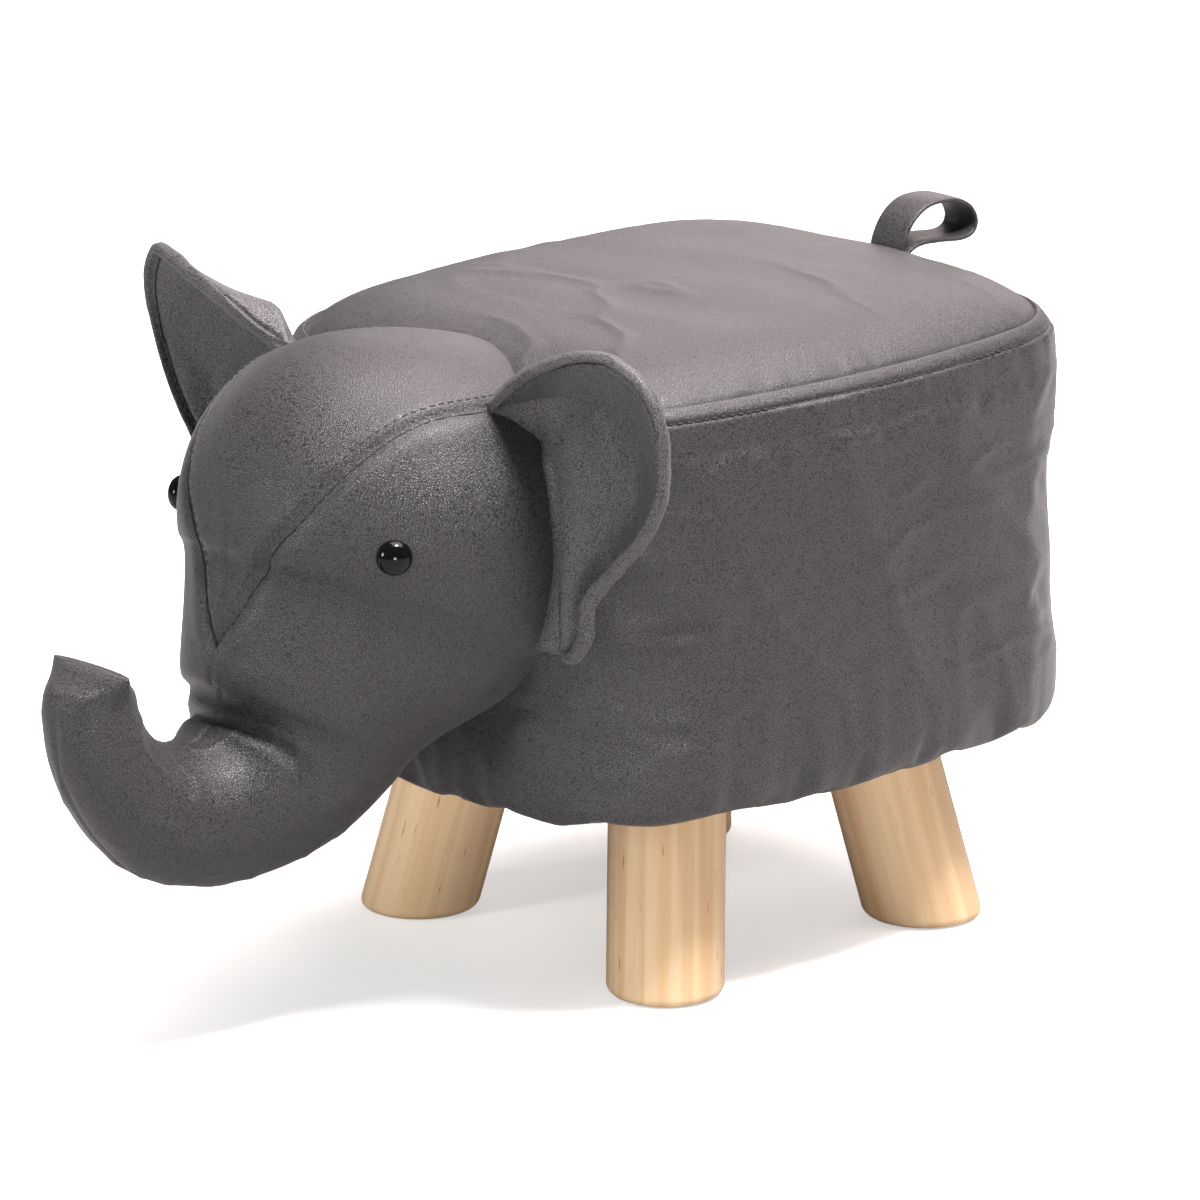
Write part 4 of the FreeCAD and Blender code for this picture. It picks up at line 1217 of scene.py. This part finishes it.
    def build(self) -> None:
        """Make the head and trunk with their seams and stitches."""
        path = spline(self.stations(), self.rings, 2)
        angles = np.linspace(0, 2 * math.pi, self.around, endpoint=False)
        net, normals = self.form(path, angles)
        flat = net.reshape(-1, 3)
        turns = np.repeat(path[:, 2], self.around)
        to_lip = np.repeat(np.linalg.norm(path[:, :2] - path[-1, :2], axis=1), self.around)
        push = self.relief(flat, turns, np.tile(angles, self.rings)) * smooth_step(0, self.LIP_CALM, to_lip)
        shaped = flat + normals.reshape(-1, 3) * push[:, None]
        faces = net_faces(self.rings, self.around, True)
        crown_tip, final = len(shaped), (self.rings - 1) * self.around
        for place in range(self.around):
            after = (place + 1) % self.around
            faces.append((place, after, crown_tip))
            faces.append((final + after, final + place, crown_tip + 1))
        shaped = np.vstack([shaped, shaped[: self.around].mean(0), shaped[-self.around :].mean(0)])
        piece = skin("head_and_trunk", shaped, faces)
        self.surface = BVHTree.FromPolygons([tuple(point) for point in shaped], faces)
        WORKSHOP.finish(piece, COVER, Slot.COVER)
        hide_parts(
            "forehead_panel", "left_head_panel", "right_head_panel", "head_stuffing", "trunk_stuffing"
        )
        self.sew()
        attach(piece, Body.STOOL.value)

    def sew(self) -> None:
        """Sew the forehead panel in, lay a near-black cord of painted shadow along the seam, and topstitch
        it.
        """
        for side in Side:
            line, normals = self.seam_line(side, 0.0)
            line = line + normals * self.SEAM_CORD_OUT
            # A near-black cord along the seam: painted shadow of the seam's groove
            seam = cord_along(f"{side.word}_forehead_seam", line, self.SEAM_CORD)
            WORKSHOP.finish(seam, SEAM_SHADE, Slot.COVER)
            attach(seam, Body.STOOL.value)
            line, normals = self.seam_line(side, self.STITCH_INSET)
            row = STITCHING.row(f"{side.word}_forehead_topstitch", line, normals)
            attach(row, Body.STOOL.value)

    def relief(self, points: Array, turns: Array, around: Array) -> Array:
        """How far the leather stands out of or sinks into the plain form.

        Args:
            points: Points on the plain form.
            turns: Turn of the centre line at each point.
            around: Angle round the centre line at each point.

        Returns:
            Distances along the outward normal.
        """
        leaf = self.leaf_distance(points)
        groove = -self.GROOVE * hump(leaf, self.GROOVE_WIDTH)
        swell = self.SWELL * hump(np.abs(leaf) - self.SWELL_AT, self.SWELL_WIDTH)
        below = smooth_step(*self.TRUNK_GROOVE_FROM, turns)
        middle = -self.TRUNK_GROOVE * hump(points[:, 0], self.GROOVE_WIDTH) * below
        behind, beside = self.BEND_INNER
        inner = -np.sin(around) * behind + np.abs(np.cos(around)) * beside
        inner = smooth_step(*self.BEND_INNER_FROM, inner)
        bend = (turns - self.BEND) - self.BEND_SWAY * np.sin(around * self.BEND_SWAYS)
        crease = -self.BEND_CREASE * inner * hump(bend, self.BEND_CREASE_WIDTH)
        rolls = [hump(bend - at, self.BEND_ROLL_WIDTH) for at in (self.BEND_ROLL_AT, -self.BEND_ROLL_AT)]
        rolled = self.BEND_ROLL * inner * (rolls[0] + rolls[1])
        lumps = self.LUMP.height * self.LUMP.noise(points)
        wrinkle = self.WRINKLE.height * self.WRINKLE.ridges(points) ** 3
        wrinkle = wrinkle * smooth_step(*self.WRINKLE_FROM, turns)
        pucker = self.PUCKER.height * self.PUCKER.noise(points) * hump(leaf, self.PUCKER_REACH)
        to_jowl = np.column_stack([np.abs(points[:, 0]), points[:, 1:]]) - np.array(self.JOWL_AT) * MM
        jowl = self.JOWL * hump(np.linalg.norm(to_jowl, axis=1), self.JOWL_WIDTH)
        return groove + swell + middle + crease + rolled + lumps + wrinkle + pucker + jowl


@dataclass
class Eye:
    """Domed safety eye, pressed a little into the leather."""

    side: Side
    head: HeadCover
    turn: float = math.radians(58)
    rise: float = math.radians(2)
    radius: float = 7.5 * MM
    dome: float = 5.4 * MM
    pressed: float = 0.4 * MM

    def build(self) -> None:
        """Make the dome where its axis leaves the head."""
        axis = direction(self.side.value * self.turn, self.rise)
        start = Vector((0, *self.head.middle)) + axis * RAY_START
        place = self.head.surface.ray_cast(start, -axis)[0] - axis * self.pressed
        bpy.ops.mesh.primitive_uv_sphere_add(segments=48, ring_count=24, radius=self.radius, location=place)
        piece = bpy.context.object
        piece.scale = (1, 1, self.dome / self.radius)
        piece.rotation_euler = axis.to_track_quat("Z", "Y").to_euler()
        settle(piece, f"{self.side.word}_eye_dome")
        bpy.ops.object.shade_smooth()
        WORKSHOP.finish(piece, EYE, Slot.EYE)
        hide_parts(f"{self.side.word}_eye")
        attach(piece, Body.STOOL.value)


# Ears

# Sewn-in line of an ear from its low end up the fold and forward over the cheek, then the two rims
# from the low end round to the front: reach, height and how far forward, in millimetres
EAR_ROOT = (
    *((0, -46, 0), (0, -20, 0), (-1, 10, -1), (-8, 30, -4)),
    *((-18, 42, -7), (-26, 49, 1), (-33, 53, 10)),
)
LEFT_RIM = (
    *((3, -48, 3), (11, -45, 4), (19, -34, 5), (23, -18, 7), (41, 0, 7), (55, 15, 6)),
    *((64, 32, 5), (67, 46, 5), (67, 61, 6), (63, 74, 8), (53, 84, 10), (37, 89, 12)),
    *((17, 85, 14), (-5, 75, 15), (-23, 62, 14), (-32, 55, 12)),
)
RIGHT_RIM = (
    *((3, -49, 2), (12, -44, 2), (27, -25, 2), (42, -2, 2), (58, 22, 2), (68, 48, 3), (68, 68, 6)),
    *((60, 82, 9), (49, 83, 12), (21, 75, 16), (0, 65, 16), (-16, 57, 13), (-32, 54, 12)),
)


@dataclass
class Ear:
    """Two-layer leather ear, cupped like a hood and stitched round the rim, which folds at its root."""

    side: Side
    body: Body
    rim: tuple[tuple[float, float, float], ...]
    hood_bulge: tuple[float, float, float]
    fold: tuple[float, float, float] = (95 * MM, -67 * MM, 212 * MM)
    hollow: float = 11 * MM
    bead: float = 1.7 * MM
    topstitch: float = 6 * MM
    tucked: int = 8
    columns: int = 150
    rows: int = 72

    # Shares of the rim between which the leaf goes over into the hood, and the way that the leaf bulges
    HOOD_FROM = (0.62, 0.85)
    LEAF_BULGE = (0, 0, -1)
    # Strip tucked into the head behind the fold and under the hood, in millimetres, and its last share
    LEAF_TUCK = (-18, 0, 4)
    HOOD_TUCK = (-9, -15, 0)
    TUCK_END = 0.1
    # Forms of the bowl and of the crease under the hood, and their depth where the ear is narrow
    BOWL_POWER = 1.7
    HOOD_POWER = 1.2
    NARROW_DEPTH = 0.3
    SOFT = Ripple(2.6 * MM, (24 * MM, 40 * MM, 60 * MM), 3.3)
    CREASE = Ripple(1.0 * MM, (11 * MM, 22 * MM, 60 * MM), 6.4)
    # Half thickness: leather, padding inwards of the rim, bead, stitched groove and rounded edge
    LEATHER = 1.5 * MM
    PADDED_MORE = 0.35
    PADDED_FROM = 14 * MM
    BEAD_AT = 1.9 * MM
    BEAD_WIDTH = 1.5 * MM
    GROOVE = 1.3 * MM
    GROOVE_WIDTH = 1.2 * MM
    EDGE_ROUND = 1.4 * MM
    EDGE_LEAST = 0.02
    RIPPLE = Ripple(0.7 * MM, (8 * MM, 8 * MM, 8 * MM), 5.1)
    RIPPLE_REACH = 12 * MM
    FAR_AWAY = 1.0
    # Reach, from the fold, over which the leather would bend when the ear moves; nothing here uses it
    BENDING = (-6 * MM, 8 * MM)
    # Stitched stretch of the rim, and the near-black cord along the stitching that paints the groove's shadow
    STITCHED_COLUMN = 8
    STITCHED_SHARE = 0.82
    STITCH_OUT = 0.5 * MM
    STITCH_SHADOW_CORD = 0.3 * MM

    def place(self, local: Array) -> Array:
        """Set reach, height and forward points at the fold.

        Args:
            local: Points of the ear, one row each.

        Returns:
            Points in the frame of the stool.
        """
        across, back, up = self.fold
        sign = self.side.value
        return np.column_stack([sign * (across + local[:, 0]), back - local[:, 2], up + local[:, 1]])

    def sheet(self) -> Array:
        """Middle of the leather from the strip tucked into the head out to the rim.

        Returns:
            Points by row and column, as reach, height and forward.
        """
        rim = spline(np.array(self.rim) * MM, self.columns)
        root = spline(np.array(EAR_ROOT) * MM, self.columns)
        span = np.linalg.norm(rim - root, axis=1)
        hood = smooth_step(*self.HOOD_FROM, np.linspace(0, 1, self.columns))
        leaf, over = (1 - hood)[:, None], hood[:, None]
        into_head = (np.array(self.LEAF_TUCK) * leaf + np.array(self.HOOD_TUCK) * over) * MM
        bulge = np.array(self.LEAF_BULGE) * leaf + np.array(self.hood_bulge) * over
        rows = [root + into_head * share for share in np.linspace(1, self.TUCK_END, self.tucked)]
        for share in np.linspace(0, 1, self.rows):
            flat = root + (rim - root) * share
            soft = self.SOFT.height * self.SOFT.noise(flat, self.side.value)
            crease = self.CREASE.height * self.CREASE.noise(flat, self.side.value)
            # A bowl in the main leaf, and a folded crease under the hood
            bowl = math.sin(math.pi * share) ** self.BOWL_POWER
            folded = (1 - abs(2 * share - 1)) ** self.HOOD_POWER * hood + bowl * (1 - hood)
            deep = np.minimum(self.hollow, self.NARROW_DEPTH * span) * folded
            deep = deep + 4 * share * (1 - share) * (soft + crease)
            rows.append(flat + bulge * deep[:, None])
        return np.array(rows)

    def thickness(self, edge: Array) -> Array:
        """Half thickness of the ear.

        Args:
            edge: Distances from the rim.

        Returns:
            Half thicknesses.
        """
        plump = self.LEATHER * (1 + self.PADDED_MORE * smooth_step(0, self.PADDED_FROM, edge))
        plump = plump + self.bead * hump(edge - self.BEAD_AT, self.BEAD_WIDTH)
        plump = plump - self.GROOVE * hump(edge - self.topstitch, self.GROOVE_WIDTH)
        return plump * np.sqrt(np.clip(edge / self.EDGE_ROUND, self.EDGE_LEAST, 1))

    def shell_faces(self, count: int) -> list[tuple[int, ...]]:
        """Faces of both sides of the ear and of the border between them.

        Args:
            count: Rows of one side.

        Returns:
            Corner numbers of each face, where the back's corners follow the front's.
        """
        faces = net_faces(count, self.columns, False)
        size = count * self.columns
        faces += [tuple(size + corner for corner in reversed(face)) for face in faces]
        numbers = np.arange(size).reshape(count, self.columns)
        border = [*numbers[-1], *numbers[-2::-1, -1], *numbers[0, -2::-1], *numbers[1:-1, 0]]
        border = [int(corner) for corner in border]
        for here, after in zip(border, border[1:] + border[:1]):
            faces.append((here, after, size + after, size + here))
        return faces

    def build(self) -> None:
        """Make the ear as a thin stuffed leaf with a rolled and stitched rim."""
        middle = self.sheet()
        level = middle.reshape(-1, 3)
        edge = np.linalg.norm(middle - middle[-1][None, :, :], axis=2)
        # The tucked strip and the inner third have no part in the rim
        edge[: self.tucked + self.rows // 3] = self.FAR_AWAY
        stool = self.place(level).reshape(middle.shape)
        normals = net_normals(stool, False)
        normals = normals * np.sign(-normals[self.tucked + self.rows // 2, :, 1].mean())
        ripple = self.RIPPLE.height * self.RIPPLE.noise(level, self.side.value).reshape(edge.shape)
        stool = stool + normals * (ripple * np.exp(-edge / self.RIPPLE_REACH))[:, :, None]
        plump = self.thickness(edge)[:, :, None]
        front_net, back_net = stool + normals * plump, stool - normals * plump
        points = np.vstack([front_net.reshape(-1, 3), back_net.reshape(-1, 3)])
        word = self.side.word
        piece = skin(f"{word}_ear", points, self.shell_faces(len(middle)))
        # The whole ear takes the leather painted lighter: painted light
        WORKSHOP.finish(piece, EAR_LEATHER_PAINTED_LIGHTER, Slot.EAR_LINING)
        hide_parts(f"{word}_ear_back", f"{word}_ear_front", f"{word}_ear_root")
        self.sew("front", front_net, normals, edge)
        self.sew("back", back_net, -normals, edge)
        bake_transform(piece)

    def sew(self, face: str, net: Array, normals: Array, edge: Array) -> None:
        """Sew the rim on one face.

        Args:
            face: Which face of the ear.
            net: Points of that face by row and column.
            normals: Outward normals there.
            edge: Distance of each point from the rim.
        """
        rows = np.argmin(np.abs(edge - self.topstitch), axis=0)
        columns = np.arange(self.columns)
        span = slice(self.STITCHED_COLUMN, int(self.STITCHED_SHARE * self.columns))
        outward = normals[rows, columns][span]
        line = net[rows, columns][span] + outward * self.STITCH_OUT
        row_piece = STITCHING.row(f"{self.side.word}_ear_{face}_stitch", line, outward)
        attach(row_piece, self.body.value)
        # A near-black cord along the stitching: painted shadow of the stitched groove
        crease = cord_along(f"{self.side.word}_ear_{face}_stitch_crease", line, self.STITCH_SHADOW_CORD)
        WORKSHOP.finish(crease, SEAM_SHADE, Slot.EAR_LINING)
        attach(crease, self.body.value)


# Tail


@dataclass
class Tail:
    """Leather strap doubled into a small lifting loop, with rounded edges."""

    root: tuple[float, float, float] = (0, 217 * MM, 275.7 * MM)
    width: float = 20 * MM
    thickness: float = 2.6 * MM
    steps: int = 80
    sides: int = 28

    # Middle line of the strap from the root: back and up
    PATH = (
        *((-8, -10), (-6, 1), (0, 10.5), (10, 16), (24, 16), (34, 12), (38.5, 5.5)),
        *((37, 0), (30, -2), (16, -0.8), (4, -0.6), (-4, -4), (-7, -10)),
    )
    # How square the section is: smaller powers are squarer
    ACROSS_POWER = 0.35
    THICK_POWER = 0.6

    def build(self) -> None:
        """Make the strap along its looped middle line."""
        path = spline(np.array(self.PATH) * MM, self.steps, 2)
        ahead = unit(np.gradient(path, axis=0))
        square = np.column_stack([ahead[:, 1], -ahead[:, 0]])
        net = np.zeros((self.steps, self.sides, 3))
        for column, angle in enumerate(np.linspace(0, 2 * math.pi, self.sides, endpoint=False)):
            cosine, sine = math.cos(angle), math.sin(angle)
            net[:, column, 0] = abs(cosine) ** self.ACROSS_POWER * math.copysign(self.width / 2, cosine)
            thick = abs(sine) ** self.THICK_POWER * math.copysign(self.thickness / 2, sine)
            net[:, column, 1:] = path + square * thick
        piece = tube("tail_strap", net + np.array(self.root))
        WORKSHOP.finish(piece, COVER, Slot.COVER)
        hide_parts("tail_loop")
        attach(piece, Body.TAIL.value)


# Legs and hidden pieces

LEG_LEAN = math.radians(15)
FOOT_ASIDE = 78.5 * MM
FOOT_ALONG = 76.5 * MM


@dataclass
class Leg:
    """Turned pine leg, splayed and cut level at both ends."""

    name: str
    foot: tuple[float, float]
    splay: tuple[float, float]
    radius: float = 25 * MM
    blank: float = 160 * MM
    top: float = 89.2 * MM
    round_over: float = 4 * MM
    sharp: float = math.radians(40)
    smooth: float = math.radians(30)

    def build(self) -> None:
        """Make the leg from a cylinder, trim it level and round its foot."""
        foot, up = self.axis()
        turn = up.to_track_quat("Z", "Y").to_euler()
        middle = foot + up * (self.top / up.z / 2)
        bpy.ops.mesh.primitive_cylinder_add(
            vertices=96, radius=self.radius, depth=self.blank, location=middle, rotation=turn
        )
        piece = settle(bpy.context.object, f"{self.name}_leg_turned")
        bpy.ops.object.mode_set(mode="EDIT")
        for height, clear_inner in ((0.0, True), (self.top, False)):
            bpy.ops.mesh.select_all(action="SELECT")
            bpy.ops.mesh.bisect(
                plane_co=(0, 0, height),
                plane_no=(0, 0, 1),
                use_fill=True,
                clear_inner=clear_inner,
                clear_outer=not clear_inner,
            )
        bpy.ops.object.mode_set(mode="OBJECT")
        edges = {"limit_method": "ANGLE", "angle_limit": self.sharp}
        modify(piece, "BEVEL", width=self.round_over, segments=6, **edges)
        bpy.ops.object.shade_smooth_by_angle(angle=self.smooth)
        self.mark_frame(piece, foot, up)
        WORKSHOP.finish(piece, PINE, Slot.PINE)
        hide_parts(f"{self.name}_leg")
        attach(piece, Body.STOOL.value)

    def axis(self) -> tuple[Vector, Vector]:
        """Middle of the foot and the direction of the leg.

        Returns:
            Point on the floor and a unit direction upwards.
        """
        foot = Vector((self.foot[0], self.foot[1], 0))
        return foot, Vector((self.splay[0], self.splay[1], 1)).normalized()

    def mark_frame(self, piece: bpy.types.Object, foot: Vector, up: Vector) -> None:
        """Store each point's place in the leg's own lengthwise frame, for the grain.

        Args:
            piece: The leg.
            foot: Middle of the foot.
            up: Direction of the leg.
        """
        back = up.to_track_quat("Z", "Y").inverted()
        # Each leg is cut from another place in the wood, which its foot's place picks
        shift = Vector((0.13 * foot.x + 0.4, 0.21 * foot.y, 0.9 * foot.x + 0.5 * foot.y))
        attribute = piece.data.attributes.new("leg_frame", "FLOAT_VECTOR", "POINT")
        for index, corner in enumerate(piece.data.vertices):
            attribute.data[index].vector = back @ (corner.co - foot) + shift


@dataclass
class DustCover:
    """Thin spun cloth stapled under the frame, with openings for the legs."""

    half_width: float = 101 * MM
    half_length: float = 123 * MM
    cut: float = 27 * MM
    height: float = 87.6 * MM
    half_hole: float = 30 * MM
    thickness: float = 0.4 * MM

    SAG = Ripple(0.9 * MM, (40 * MM, 40 * MM, 1), 1.2)

    def build(self, legs: Sequence[Leg]) -> None:
        """Make the cloth.

        Args:
            legs: Legs that pass through it.
        """
        holes = [foot + up * (self.height / up.z) for foot, up in (leg.axis() for leg in legs)]
        bpy.ops.mesh.primitive_grid_add(x_subdivisions=80, y_subdivisions=96, size=1, location=(0, 0, 0))
        grid = bpy.context.object
        grid.scale = (2 * self.half_width, 2 * self.half_length, 1)
        grid.location = (0, SEAT_BACK, self.height)
        settle(grid, "dust_cloth")
        faces = []
        for face in grid.data.polygons:
            x, y = face.center.x, face.center.y
            corner = abs(x) + abs(y - SEAT_BACK) > self.half_width + self.half_length - self.cut
            if not corner and all(max(abs(x - at.x), abs(y - at.y)) >= self.half_hole for at in holes):
                faces.append(tuple(face.vertices))
        points = np.array([corner.co for corner in grid.data.vertices])
        points[:, 2] -= self.SAG.height * (1 + self.SAG.noise(points))
        bpy.data.objects.remove(grid)
        cloth = skin("dust_cloth_under", points, faces)
        modify(cloth, "SOLIDIFY", thickness=self.thickness, offset=0)
        WORKSHOP.finish(cloth, DUST_CLOTH, Slot.DUST_CLOTH)
        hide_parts("dust_cover")
        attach(cloth, Body.STOOL.value)


@dataclass
class HiddenFrame:
    """Boards, posts, fasteners and washers inside, shown as they are built."""

    PIECES = {
        "base_board": (PLYWOOD, Slot.PLYWOOD),
        "top_board": (PLYWOOD, Slot.PLYWOOD),
        "leg_bolts": (STEEL, Slot.STEEL),
        "leg_nuts": (STEEL, Slot.STEEL),
        "frame_staples": (STEEL, Slot.STEEL),
        "hem_staples": (STEEL, Slot.STEEL),
        "eye_washers": (WASHER, Slot.WASHER),
        **{f"{leg}_post": (PINE, Slot.PINE) for leg in LEG_SIGNS},
    }

    def dress(self) -> None:
        """Give each piece its finish."""
        for name, (finish, slot) in self.PIECES.items():
            WORKSHOP.finish(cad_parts[name], finish, slot)


# Studio


@dataclass(frozen=True)
class Studio:
    """White sweep, soft light from above and the camera of the photograph."""

    azimuth: float = math.radians(47.4)
    elevation: float = math.radians(16.2)
    distance: float = 3.5
    lens: float = 244.7
    sensor: float = 36
    sight: float = 50
    target: tuple[float, float, float] = (0, SEAT_BACK, 150 * MM)
    aside: float = -30.6 * MM
    lower: float = -10.3 * MM
    floor_size: float = 14
    floor_gap: float = 0.5 * MM
    floor_glow: float = 0.5
    light_aim: tuple[float, float, float] = (0, 0, 150 * MM)

    # Soft boxes: name, place, size, power and tint
    BOXES = (
        ("overhead_box", (0.2, 0.6, 2.2), 2.2, 114.0, "#fff1ee"),
        ("spark_box", (0.85, 0.0, 2.3), 0.45, 74.0, "#ffffff"),
        ("back_box", (-1.5, 2.2, 1.1), 1.6, 16.0, "#fff1ee"),
        ("key_box", (-0.5, -2.4, 0.8), 0.6, 27.0, "#ffffff"),
        ("side_box", (2.4, 1.4, 1.0), 1.2, 2.0, "#eef4ff"),
        ("low_fill", (1.9, -1.2, 0.12), 0.35, 14.0, "#fffaf2"),
    )

    def build(self) -> None:
        """Set up world, floor, lights and camera."""
        scene = bpy.context.scene
        scene.view_settings.view_transform = "Standard"
        self.build_world(scene)
        self.build_floor()
        self.build_lights()
        self.build_camera(scene)

    def build_world(self, scene: bpy.types.Scene) -> None:
        """White surroundings, dimmer as a light than as a backdrop.

        Args:
            scene: Scene to light.
        """
        world = bpy.data.worlds.new("white_studio")
        scene.world = world
        world.use_nodes = True
        tree = world.node_tree
        path = add_node(tree, "ShaderNodeLightPath", {})
        levels = {"To Min": 0.12, "To Max": 1.0}
        strength = add_node(tree, "ShaderNodeMapRange", levels, Value=path.outputs["Is Camera Ray"])
        background = tree.nodes["Background"]
        set_up(tree, background, {"Color": linear("#fafcff")}, Strength=strength.outputs["Result"])

    def build_floor(self) -> None:
        """Pale floor that keeps the shadow."""
        bpy.ops.mesh.primitive_plane_add(size=self.floor_size, location=(0, 0, -self.floor_gap))
        floor = bpy.context.object
        floor.name = "studio_floor"
        made, tree, shader = new_material("white_paper_sweep")
        seen = add_node(tree, "ShaderNodeLightPath", {}).outputs["Is Camera Ray"]
        greys = {"data_type": "RGBA", "A": (0.42, 0.42, 0.42, 1), "B": (0.92, 0.92, 0.92, 1)}
        tone = add_node(tree, "ShaderNodeMix", greys, Factor=seen)
        # Paper lit from below as well, so that the shadow stays pale
        glow = add_node(tree, "ShaderNodeMath", {"operation": "MULTIPLY"})
        glow.inputs[1].default_value = self.floor_glow
        tree.links.new(seen, glow.inputs[0])
        set_up(
            tree,
            shader,
            {"Roughness": 0.9, "Specular IOR Level": 0.1, "Emission Color": (1, 1, 1, 1)},
            Base_Color=tone.outputs["Result"],
            Emission_Strength=glow.outputs[0],
        )
        floor.data.materials.append(made)

    def build_lights(self) -> None:
        """Large soft box overhead, a small one for highlights, a weaker key and fills round about."""
        for name, place, size, power, tint in self.BOXES:
            light = bpy.data.lights.new(name, "AREA")
            light.shape = "SQUARE"
            light.size = size
            light.energy = power
            light.color = linear(tint)[:3]
            lamp = bpy.data.objects.new(name, light)
            bpy.context.scene.collection.objects.link(lamp)
            aim = Vector(self.light_aim) - Vector(place)
            lamp.matrix_world = Matrix.Translation(place) @ aim.to_track_quat("-Z", "Y").to_matrix().to_4x4()

    def build_camera(self, scene: bpy.types.Scene) -> None:
        """Camera at the photograph's angle.

        Args:
            scene: Scene that takes the camera.
        """
        right = Vector((math.cos(self.azimuth), math.sin(self.azimuth), 0))
        back = direction(self.azimuth, self.elevation)
        up = back.cross(right)
        aim = Vector(self.target) + right * self.aside + up * self.lower
        data = bpy.data.cameras.new("photo_camera")
        data.lens = self.lens
        data.sensor_width = self.sensor
        data.clip_end = self.sight
        camera = bpy.data.objects.new("photo_camera", data)
        scene.collection.objects.link(camera)
        turn = Matrix((right, up, back)).transposed().to_4x4()
        camera.matrix_world = Matrix.Translation(aim + back * self.distance) @ turn
        scene.camera = camera


def main() -> None:
    """Build every piece in order and log it."""
    logging.basicConfig(level=logging.INFO, format="%(name)s: %(message)s")
    head = HeadCover()
    splay = math.tan(LEG_LEAN) / math.sqrt(2)
    legs = []
    for name, (across, along) in LEG_SIGNS.items():
        foot = (across * FOOT_ASIDE, SEAT_BACK + along * FOOT_ALONG)
        legs.append(Leg(name, foot, (-across * splay, -along * splay)))
    left_ear = Ear(Side.LEFT, Body.LEFT_EAR, LEFT_RIM, hood_bulge=(0, -0.1, -1))
    right_ear = Ear(Side.RIGHT, Body.RIGHT_EAR, RIGHT_RIM, hood_bulge=(0, 0.75, -0.65))
    steps: list[tuple[str, Callable[[], None]]] = [
        ("seat cover", SeatCover().build),
        ("head cover", head.build),
        ("left eye", Eye(Side.LEFT, head).build),
        ("right eye", Eye(Side.RIGHT, head).build),
        ("left ear", left_ear.build),
        ("right ear", right_ear.build),
        ("tail", Tail().build),
    ]
    steps += [(f"{leg.name} leg", leg.build) for leg in legs]
    steps += [
        ("dust cover", lambda: DustCover().build(legs)),
        ("hidden frame", HiddenFrame().dress),
        ("studio", Studio().build),
    ]
    for word, step in steps:
        step()
        LOG.info("built %s", word)


if __name__ == "__main__":
    main()
